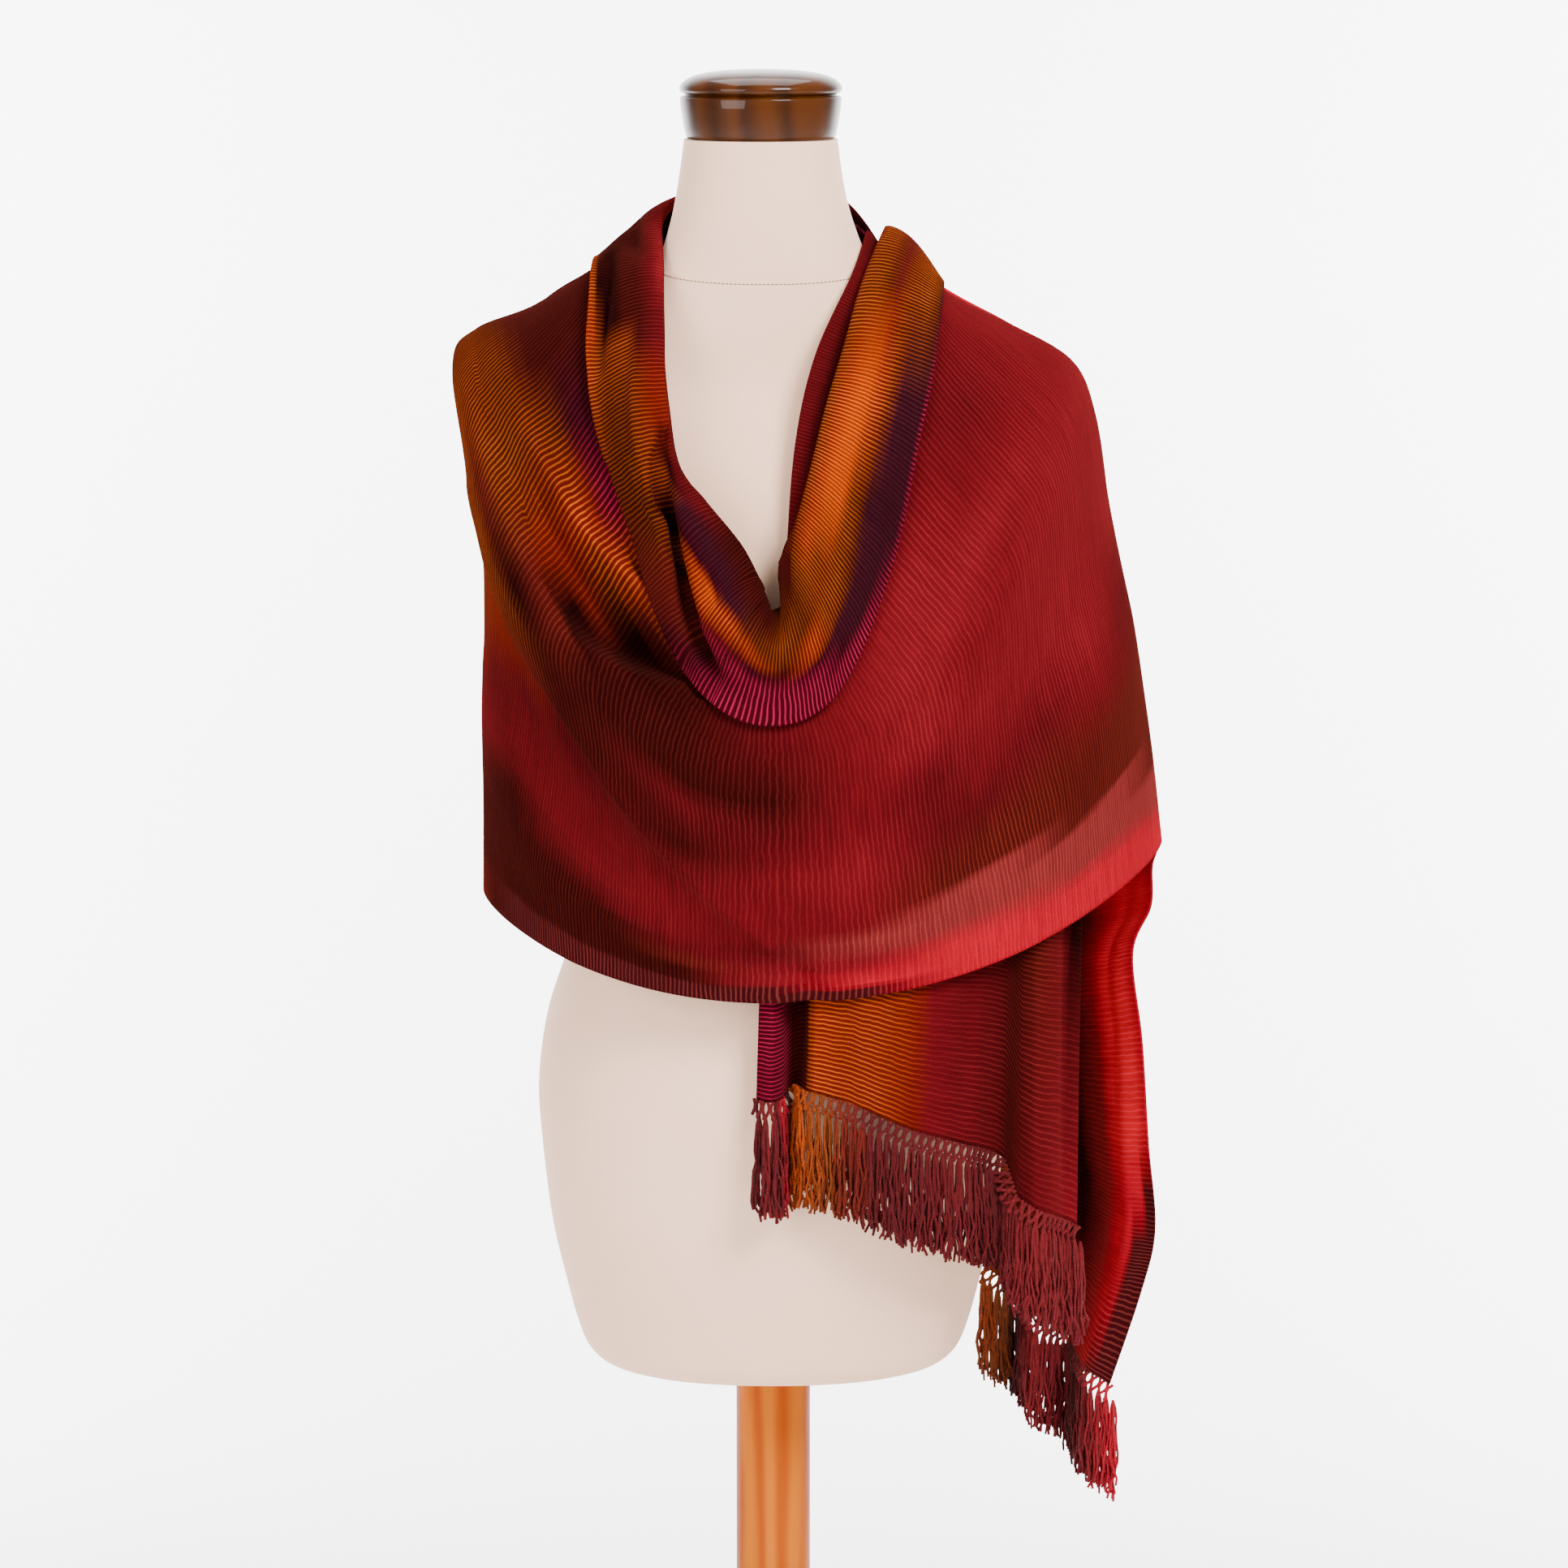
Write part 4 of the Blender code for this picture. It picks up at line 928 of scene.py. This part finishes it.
class SHAWL_OT_front(bpy.types.Operator):
    """Build the front of the shawl, from under the collar to the hem"""

    bl_idname = "shawl.front"
    bl_label = "Front"

    def execute(self, context):
        def place(u, v):
            ring = FRONT_TOP_RING + (HEM_RING - FRONT_TOP_RING) * v
            return SIDE_SEAM * (2.0 * u - 1.0), ring

        def bands(u, v):
            angle, ring = place(u, v)
            return np.degrees(angle), ring / HEM_RING

        def weave(u, v):
            angle, ring = place(u, v)
            spots = cape_ring(angle, ring)
            radius = 0.35 * np.hypot(spots[..., 0], spots[..., 1]) + 0.65 * CLOTH_RADIUS
            return angle * radius * 1.15, ring / HEM_RING * 0.42

        return cloth_piece(
            context, ("front_cloth", "handwoven_front", "front_panel"),
            lambda u, v: front_point(*place(u, v), folds=FRONT_FOLDS + FINE_FOLDS), (230, 150),
            bands, weave, FRONT_BANDS, (),
            flat=(0.40, 0.52), held="draped", rests_on=["form_cover"])


class SHAWL_OT_back(bpy.types.Operator):
    """Build the stretch of the shawl across the back"""

    bl_idname = "shawl.back"
    bl_label = "Back"

    def execute(self, context):
        def angle(u):
            return -(SIDE_SEAM + 2.0 * (math.pi - SIDE_SEAM) * (1.0 - u))

        def point(u, v):
            inset = LAYER_STEP * np.minimum((1.0 - u) * 2.5, 1.0)
            return back_point(angle(u), v * HEM_RING, inset)

        return cloth_piece(
            context, ("back_cloth", "handwoven_back", "back_wrap"), point, (190, 150),
            lambda u, v: (1.0 - u, v), lambda u, v: (angle(u) * CLOTH_RADIUS, v * 0.46),
            BACK_BANDS, BACK_CREASES,
            flat=(0.45, 0.48), held="draped", rests_on=["form_cover"])


class SHAWL_OT_collar(bpy.types.Operator):
    """Build the collar with both lapels"""

    bl_idname = "shawl.collar"
    bl_label = "Collar"

    def execute(self, context):
        def weave(u, v):
            spots = collar_point(u, np.full_like(u, 0.65))
            steps = np.linalg.norm(np.diff(spots[:, 0], axis=0), axis=-1)
            along = np.concatenate(([0.0], np.cumsum(steps)))
            return np.broadcast_to(along[:, None], u.shape), v * 0.085

        return cloth_piece(
            context, ("collar_cloth", "handwoven_collar", "collar"), collar_point, (420, 60),
            lambda u, v: (u * (len(COLLAR_SECTIONS) - 1), v), weave, COLLAR_BANDS,
            COLLAR_CREASES, flat=(0.085, 0.80), held="folded", rests_on=["front_cloth"])


class SHAWL_OT_front_end(bpy.types.Operator):
    """Build the first end of the shawl, at the right front"""

    bl_idname = "shawl.front_end"
    bl_label = "Front end"

    def execute(self, context):
        return cloth_piece(
            context, ("end_a_cloth", "handwoven_front_end", "end_a"), end_a_point, (150, 200),
            lambda u, v: (v, u), lambda u, v: (v * 0.66, u * 0.30), END_A_BANDS, END_A_CREASES,
            flat=(0.26, 0.58), held="hung", rests_on=["form_cover"])


class SHAWL_OT_back_end(bpy.types.Operator):
    """Build the last end of the shawl, down the right back"""

    bl_idname = "shawl.back_end"
    bl_label = "Back end"

    def execute(self, context):
        return cloth_piece(
            context, ("end_b_cloth", "handwoven_back_end", "end_b"), end_b_point, (150, 210),
            lambda u, v: (v, u), lambda u, v: (v * 0.78, u * 0.34), END_B_BANDS, END_B_CREASES,
            flat=(0.25, 0.74), held="hung", rests_on=["back_cloth"])


class GrowthTree:
    """Geometry nodes that grow something along a curve, from inputs of their own."""

    def __init__(self, name, inputs):
        self.tree = bpy.data.node_groups.new(name, "GeometryNodeTree")
        self.tree.is_modifier = True
        sockets = self.tree.interface
        for label, kind in {"Geometry": "Geometry", **inputs}.items():
            sockets.new_socket(label, in_out="INPUT", socket_type="NodeSocket" + kind)
        sockets.new_socket("Geometry", in_out="OUTPUT", socket_type="NodeSocketGeometry")
        self.any = NodeMaker(self.tree, "")
        self.given = self.any("NodeGroupInput").outputs

    def joined(self, parts):
        whole = self.any("GeometryNodeJoinGeometry")
        for part in parts:
            self.tree.links.new(part.outputs[0], whole.inputs[0])
        return whole

    def placed(self, spots, part, scale):
        """Instances of a part on points, turned along the curve."""
        facing = self.any("FunctionNodeAlignRotationToVector", {
            "Vector": spots.outputs["Tangent"]}, axis="X")
        return self.any("GeometryNodeInstanceOnPoints", {
            "Points": spots.outputs["Points"], "Instance": part, "Rotation": facing,
            "Scale": scale})

    def bead(self, radius, **shape):
        ball = self.any("GeometryNodeMeshIcoSphere", {"Radius": radius, "Subdivisions": 2})
        return self.any("GeometryNodeTransform", {"Geometry": ball, **shape})

    def chance(self, low, high):
        """A random number for each point."""
        return self.any("FunctionNodeRandomValue", {
            2: low, 3: high, "Seed": self.given["Seed"]}, data_type="FLOAT").outputs[1]

    def finish(self, geometry, material):
        real = self.any("GeometryNodeRealizeInstances", {"Geometry": geometry})
        dressed = self.any("GeometryNodeSetMaterial", {
            "Geometry": real, "Material": self.given[material]})
        self.any("NodeGroupOutput", {"Geometry": dressed})
        return self.tree


def fringe_tree(name):
    """Geometry nodes for a knotted fringe along an edge curve."""
    grow = GrowthTree(name, {
        "Knots": "Int", "Yarns": "Int", "Pitch": "Float", "Length": "Float",
        "Radius": "Float", "Seed": "Int", "Yarn": "Material"})
    given = grow.given
    node, maths = NodeMaker(grow.tree, "GeometryNode"), NodeMaker(grow.tree)

    def store(geometry, name, value, kind):
        return node("StoreNamedAttribute", {"Geometry": geometry, "Name": name, "Value": value},
                    data_type=kind, domain="POINT")

    def tube(curves, sides, radius, **more):
        ring = node("CurvePrimitiveCircle", {"Resolution": sides, "Radius": radius})
        return node("CurveToMesh", {"Curve": curves, "Profile Curve": ring, **more})

    factor = node("SplineParameter").outputs["Factor"]
    placed = store(given["Geometry"], "end_place", factor, "FLOAT")
    knots = node("CurveToPoints", {"Curve": placed, "Count": given["Knots"]}, mode="COUNT")

    # One cell of the net in units of the pitch: four yarns and two knots
    lines = (((-0.36, 0.0, 0.12), (0.0, 0.0, -0.75)), ((0.36, 0.0, 0.12), (0.0, 0.0, -0.75)),
             ((0.0, 0.0, -0.75), (0.5, 0.0, -1.80)), ((0.0, 0.0, -0.75), (-0.5, 0.0, -1.80)))
    cords = grow.joined([node("CurvePrimitiveLine", {"Start": start, "End": end})
                         for start, end in lines])
    balls = [grow.bead(0.31, Translation=spot, Scale=(1.0, 1.0, 1.15))
             for spot in ((0.0, 0.0, -0.78), (0.5, 0.0, -1.84))]
    cells = grow.placed(knots, grow.joined([tube(cords, 6, 0.20), *balls]), given["Pitch"])

    # Free yarns from the lower knots, spread and bent a little differently each
    half = maths.math("MULTIPLY", given["Pitch"], 0.5)
    beside = maths.vector("SCALE", knots.outputs["Tangent"], half)
    down = maths("CombineXYZ", {"Z": maths.math("MULTIPLY", given["Pitch"], -1.88)})
    lowered = node("SetPosition", {
        "Geometry": knots.outputs["Points"], "Offset": maths.vector("ADD", beside, down)})
    copies = node("DuplicateElements", {"Geometry": lowered, "Amount": given["Yarns"]},
                  domain="POINT")
    lean = grow.any("FunctionNodeRandomValue", {
        "Min": (-0.0032, -0.0026, 0.0), "Max": (0.0032, 0.0026, 0.0), "Seed": given["Seed"]},
        data_type="FLOAT_VECTOR")
    leaning = store(copies, "lean", lean, "FLOAT_VECTOR")
    own_place = node("InputNamedAttribute", {"Name": "end_place"}, data_type="FLOAT")
    strayed = maths.math("ADD", own_place, grow.chance(-0.025, 0.025))
    mingled = store(leaning, "end_place", strayed, "FLOAT")
    line = node("CurvePrimitiveLine", {"Start": (0.0, 0.0, 0.02), "End": (0.0, 0.0, -1.0)})
    fine = node("ResampleCurve", {"Curve": line, "Count": 12})
    long = maths.math("MULTIPLY", grow.chance(0.86, 1.06), given["Length"])
    hung = node("InstanceOnPoints", {"Points": mingled, "Instance": fine, "Scale": long})
    loose = node("RealizeInstances", {"Geometry": hung})
    fraction = node("SplineParameter").outputs["Factor"]
    stored = node("InputNamedAttribute", {"Name": "lean"}, data_type="FLOAT_VECTOR")
    spread = maths.vector("SCALE", stored, maths.math("POWER", fraction, 0.3))
    where = maths.vector("ADD", node("InputPosition"), maths.vector("SCALE", stored, 900.0))
    curl = maths.noise(where, 46.0, 1.0).outputs["Color"]
    centred = maths.vector("SUBTRACT", curl, (0.5, 0.5, 0.5))
    swayed = maths.vector("SCALE", centred, maths.math("MULTIPLY", fraction, 0.020))
    moved = maths.vector("ADD", spread, swayed)
    flat = maths.vector("MULTIPLY", moved, (1.0, 1.0, 0.2))
    bent = node("SetPosition", {"Geometry": loose, "Offset": flat})
    yarns = tube(bent, 4, given["Radius"], **{"Fill Caps": True})
    return grow.finish(grow.joined([cells, yarns]), "Yarn")


def path_object(name, points, closed=False):
    """A curve of straight pieces through points, for the geometry nodes to follow."""
    curve = bpy.data.curves.new(name, "CURVE")
    curve.dimensions = "3D"
    line = curve.splines.new("POLY")
    line.points.add(len(points) - 1)
    for spot, point in zip(line.points, points):
        spot.co = (*point, 1.0)
    line.use_cyclic_u = closed
    path = bpy.data.objects.new(name, curve)
    bpy.context.scene.collection.objects.link(path)
    return path


def grown(path, tree, inputs, name, material):
    """The mesh that a tree of geometry nodes grows along a path, as a plain piece."""
    grower = path.modifiers.new("growth", "NODES")
    grower.node_group = tree
    for item in tree.interface.items_tree:
        if item.in_out == "INPUT" and item.name in inputs:
            grower[item.identifier] = inputs[item.name]
    ready = path.evaluated_get(bpy.context.evaluated_depsgraph_get())
    mesh = bpy.data.meshes.new_from_object(ready)
    mesh.name = name
    curve = path.data
    bpy.data.objects.remove(path, do_unlink=True)
    bpy.data.curves.remove(curve)
    piece = mesh_object(name, mesh, material)
    mesh.shade_smooth()
    return piece


# Yarn colours along the two fringes, from the left of the front end and from the right edge
# of the back end
FRINGE_A_YARNS = ("wine 0, red .03, wine .06, crimson .09, plum .12, bright orange .15, "
                  "orange .19, tan .23, brick .28, wine .36, deep red .55, wine .72, red .8")
FRINGE_B_YARNS = ("rust 0, olive .1, plum .2, wine .3, red .4, deep red .56, maroon .68, "
                  "wine .8, red .9, crimson 1")


class SHAWL_OT_fringes(bpy.types.Operator):
    """Build the knotted fringes of both ends"""

    bl_idname = "shawl.fringes"
    bl_label = "Fringes"

    def execute(self, context):
        settings = context.scene.shawl_fringe
        tree = fringe_tree("knotted_fringe")
        u = np.linspace(0.0, 1.0, 200)
        edges = (("fringe_a", end_a_point(u, np.ones_like(u)), FRINGE_A_YARNS, 11),
                 ("fringe_b", end_b_point(u, np.ones_like(u))[::-1], FRINGE_B_YARNS, 23))
        for node, edge, stops, seed in edges:
            length = np.linalg.norm(np.diff(edge, axis=0), axis=-1).sum()
            yarn = fringe_yarn(node + "_plied_wool", stops)
            path = path_object(node + "_edge", edge.tolist())
            piece = grown(path, tree, {
                "Knots": int(length / settings.knot_pitch), "Yarns": settings.yarns,
                "Pitch": settings.knot_pitch, "Length": settings.yarn_length,
                "Radius": settings.yarn_radius, "Seed": settings.seed + seed,
                "Yarn": yarn}, node + "_yarns", yarn)
            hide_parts(node)
        return {"FINISHED"}


def form_outline(place, angle):
    """Points of the form's surface at places along its sections and angles round it."""
    height, half_width, front, back, centre = (
        glide(column(FORM_SECTIONS, number), place) for number in range(5))
    side, fore = np.sin(angle), np.cos(angle)
    depth = np.where(fore > 0.0, front, back)
    return np.stack((
        centre + np.sign(side) * half_width * np.abs(side) ** FORM_POWER,
        -np.sign(fore) * depth * np.abs(fore) ** FORM_POWER,
        height,
    ), axis=-1)


def sewing_thread():
    """Cotton sewing thread, a shade darker than the cover."""
    material, node = new_material("cotton_sewing_thread")
    node.finish({"Base Color": linear("#8a6a50"), "Roughness": 0.7})
    return material


def skin_mesh(name, rings, sharp):
    """A closed mesh over rings of points; a ring of one point closes its end with a fan."""
    shape = bmesh.new()
    rings = [[shape.verts.new(spot) for spot in ring] for ring in rings]
    for first, second in zip(rings, rings[1:]):
        count = max(len(first), len(second))
        for number in range(count):
            after = (number + 1) % count
            corners = [first[number % len(first)], second[number % len(second)],
                       second[after % len(second)], first[after % len(first)]]
            shape.faces.new(list(dict.fromkeys(corners)))
    for ring in (rings[0], rings[-1]):
        if len(ring) > 1:
            shape.faces.new(ring)
    bmesh.ops.recalc_face_normals(shape, faces=shape.faces)
    mesh = bpy.data.meshes.new(name)
    shape.to_mesh(mesh)
    shape.free()
    mesh.shade_smooth()
    mesh.set_sharp_from_angle(angle=math.radians(sharp))
    return mesh


# The seam round the neck: its place among the form's sections, its dip in front, and the
# length of a stitch
SEAM_SECTION = 22.9
SEAM_DIP = 0.55
STITCH_LENGTH = 0.0021


class SHAWL_OT_form(bpy.types.Operator):
    """Build the covered dress form with the seam round its neck"""

    bl_idname = "shawl.form"
    bl_label = "Dress form"

    def execute(self, context):
        settings = context.scene.shawl_stand
        around, rows = 128, 150
        angle, place = np.meshgrid(
            np.arange(around) / around * 2.0 * math.pi,
            np.linspace(0.0, len(FORM_SECTIONS) - 1.0, rows + 1), indexing="xy")
        mesh = skin_mesh("form_cover", form_outline(place, angle).tolist(), 50.0)
        cover = mesh_object("form_cover", mesh, form_fabric())
        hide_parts("form_body")

        grow = GrowthTree("seam_stitches", {"Count": "Int", "Length": "Float",
                                            "Thread": "Material"})
        spots = grow.any("GeometryNodeCurveToPoints", {
            "Curve": grow.given["Geometry"], "Count": grow.given["Count"]}, mode="COUNT")
        sewn = grow.placed(spots, grow.bead(0.5, Scale=(1.0, 0.42, 0.42)),
                           grow.given["Length"])
        turn = np.linspace(0.0, 2.0 * math.pi, 200, endpoint=False)
        seam = form_outline(SEAM_SECTION - SEAM_DIP * np.cos(turn), turn)
        thread = sewing_thread()
        path = path_object("neck_seam_path", seam.tolist(), closed=True)
        stitches = grown(path, grow.finish(sewn, "Thread"), {
            "Count": settings.seam_stitches, "Length": STITCH_LENGTH, "Thread": thread},
            "neck_seam_stitches", thread)
        return {"FINISHED"}


def lathe(name, profile, centre, steps, material, node):
    """A turned solid from a profile of radius and height, top to bottom."""
    turns = [2.0 * math.pi * number / steps for number in range(steps)]
    rings = [[(centre[0] + radius * math.cos(turn), centre[1] + radius * math.sin(turn),
               centre[2] + height) for turn in (turns if radius > 0.0 else [0.0])]
             for radius, height in profile]
    piece = mesh_object(name, skin_mesh(name, rings, 40.0), material)
    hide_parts(node)
    return piece


CAP_HEIGHT = 0.0442
CAP_PROFILE = (
    (0.0, CAP_HEIGHT), (0.0120, 0.0441), (0.0240, 0.0434), (0.0350, 0.0421), (0.0430, 0.0401),
    (0.0480, 0.0377), (0.0510, 0.0350), (0.0521, 0.0332), (0.0523, 0.0320), (0.0521, 0.0308),
    (0.0513, 0.0297), (0.0500, 0.0290), (0.0489, 0.0287), (0.0486, 0.0282), (0.0489, 0.0277),
    (0.0508, 0.0272), (0.0516, 0.0266), (0.0519, 0.0258), (0.0514, 0.0200), (0.0505, 0.0140),
    (0.0496, 0.0080), (0.0482, 0.0024), (0.0476, 0.0008), (0.0466, 0.0), (0.0, 0.0),
)


class SHAWL_OT_stand(bpy.types.Operator):
    """Build the neck cap, the pole and the base"""

    bl_idname = "shawl.stand"
    bl_label = "Cap, pole and base"

    def execute(self, context):
        settings = context.scene.shawl_stand
        low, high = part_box("neck_cap")
        cap_wood = turned_wood("varnished_walnut_stain", "#301402", "#442005", 0.30, 0.3, 14.0)
        lathe("neck_cap_turned", CAP_PROFILE, (NECK_CENTRE_X, 0.0, low[2]), 160, cap_wood,
              "neck_cap")
        honey = turned_wood("oiled_pine", "#983e00", "#b45e00", 0.45, 0.0, 16.0)
        low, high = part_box("stand_pole")
        pole_radius = settings.pole_radius
        lathe("stand_pole_turned", ((0.0, high[2]), (pole_radius, high[2]),
                                    (pole_radius, 0.5 * (low[2] + high[2])),
                                    (pole_radius, low[2]), (0.0, low[2])),
              (0.0, 0.0, 0.0), 96, honey, "stand_pole")
        low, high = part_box("stand_base")
        radius, top = settings.base_radius, high[2]
        profile = [(0.0, top), (radius - 0.020, top), (radius - 0.012, top - 0.0010),
                   (radius - 0.006, top - 0.0040), (radius - 0.002, top - 0.0090),
                   (radius, top - 0.0150), (radius, 0.0060), (radius - 0.0012, 0.0024),
                   (radius - 0.0040, 0.0), (0.0, 0.0)]
        lathe("stand_base_turned", profile, (0.0, 0.0, 0.0), 128, honey, "stand_base")
        return {"FINISHED"}


# Area lamps: name, place, aim (at the camera's target where none is given), size, watts
LAMPS = (
    ("key", (1.5, -2.3, 3.3), None, 1.3, 245.0),
    ("fill", (-2.2, -2.6, 1.8), None, 2.2, 120.0),
    ("top", (0.0, 0.6, 3.4), None, 1.8, 90.0),
    ("wall left", (-1.9, 1.3, 1.6), (0.0, 1.0, -0.15), 1.4, 360.0),
    ("wall right", (1.9, 1.3, 1.6), (0.0, 1.0, -0.15), 1.4, 360.0),
)


def staged(context, name, data, spot=None, aim=None):
    """An object of the stage, aimed along a direction where one is given."""
    thing = bpy.data.objects.new(name, data)
    if aim is not None:
        thing.location = spot
        thing.rotation_euler = Vector(aim).to_track_quat("-Z", "Y").to_euler()
    context.scene.collection.objects.link(thing)
    return thing


class SHAWL_OT_stage(bpy.types.Operator):
    """Build the pale floor and backdrop, the soft lights and the camera"""

    bl_idname = "shawl.stage"
    bl_label = "Stage"

    def execute(self, context):
        settings = context.scene.shawl_stage

        # Pale paper that a camera behind it looks through
        material, node = new_material("pale_paper_backdrop")
        paper = node("BsdfPrincipled", {"Base Color": linear("#f4f4f4"), "Roughness": 0.9})
        behind = node.math("MULTIPLY", node("NewGeometry").outputs["Backfacing"],
                           node("LightPath").outputs["Is Camera Ray"])
        seen = node("MixShader", {0: behind, 1: paper, 2: node("BsdfTransparent")})
        node("OutputMaterial", {"Surface": seen})
        wide, bend, back = 6.0, 1.2, 3.4
        turns = [step * math.pi / 24.0 for step in range(1, 13)]
        profile = [(-6.0, 0.0), (back - bend, 0.0)]
        profile += [(back - bend + bend * math.sin(turn), bend - bend * math.cos(turn))
                    for turn in turns]
        profile.append((back, 5.0))
        spots = [(x, y, z) for y, z in profile for x in (-wide, wide)]
        faces = [(low, low + 1, low + 3, low + 2) for low in range(0, len(spots) - 2, 2)]
        mesh = bpy.data.meshes.new("backdrop")
        mesh.from_pydata(spots, [], faces)
        mesh.shade_smooth()
        mesh.materials.append(material)
        staged(context, "backdrop", mesh)

        target = Vector(settings.target)
        for name, spot, aim, size, power in LAMPS:
            lamp = bpy.data.lights.new(name, "AREA")
            lamp.energy = power
            lamp.size = size
            staged(context, name, lamp, spot, aim or target - Vector(spot))
        world = bpy.data.worlds.new("studio")
        world.use_nodes = True
        sky = world.node_tree.nodes["Background"]
        sky.inputs[0].default_value = linear("#ffffff")
        sky.inputs[1].default_value = 0.6
        context.scene.world = world

        lens = bpy.data.cameras.new("camera")
        lens.sensor_width = 36.0
        lens.lens = settings.focal_length
        away = Vector((0.0, -math.cos(settings.elevation), math.sin(settings.elevation)))
        context.scene.camera = staged(
            context, "camera", lens, target + away * settings.distance, -away)
        return {"FINISHED"}


class SHAWL_PT_panel(bpy.types.Panel):
    """Lists the builders of the shawl and its form"""

    bl_idname = "SHAWL_PT_panel"
    bl_label = "Shawl on a dress form"
    bl_space_type = "VIEW_3D"
    bl_region_type = "UI"
    bl_category = "Shawl"

    def draw(self, context):
        for operator in OPERATORS:
            self.layout.operator(operator.bl_idname)


OPERATORS = (SHAWL_OT_stage, SHAWL_OT_form, SHAWL_OT_stand, SHAWL_OT_front, SHAWL_OT_back,
             SHAWL_OT_collar, SHAWL_OT_front_end, SHAWL_OT_back_end, SHAWL_OT_fringes)
SETTINGS = (("shawl", ShawlSettings), ("shawl_fringe", FringeSettings),
            ("shawl_stand", StandSettings), ("shawl_stage", StageSettings))


def register():
    """Register the settings, the builders and their panel."""
    for name, group in SETTINGS:
        bpy.utils.register_class(group)
        setattr(bpy.types.Scene, name, PointerProperty(type=group))
    for operator in OPERATORS:
        bpy.utils.register_class(operator)
    bpy.utils.register_class(SHAWL_PT_panel)


def unregister():
    """Take away the panel, the builders and the settings."""
    bpy.utils.unregister_class(SHAWL_PT_panel)
    for operator in reversed(OPERATORS):
        bpy.utils.unregister_class(operator)
    for name, group in reversed(SETTINGS):
        delattr(bpy.types.Scene, name)
        bpy.utils.unregister_class(group)


def main():
    """Build every piece in order."""
    register()
    for operator in OPERATORS:
        group, name = operator.bl_idname.split(".")
        getattr(getattr(bpy.ops, group), name)()


if __name__ == "__main__":
    main()
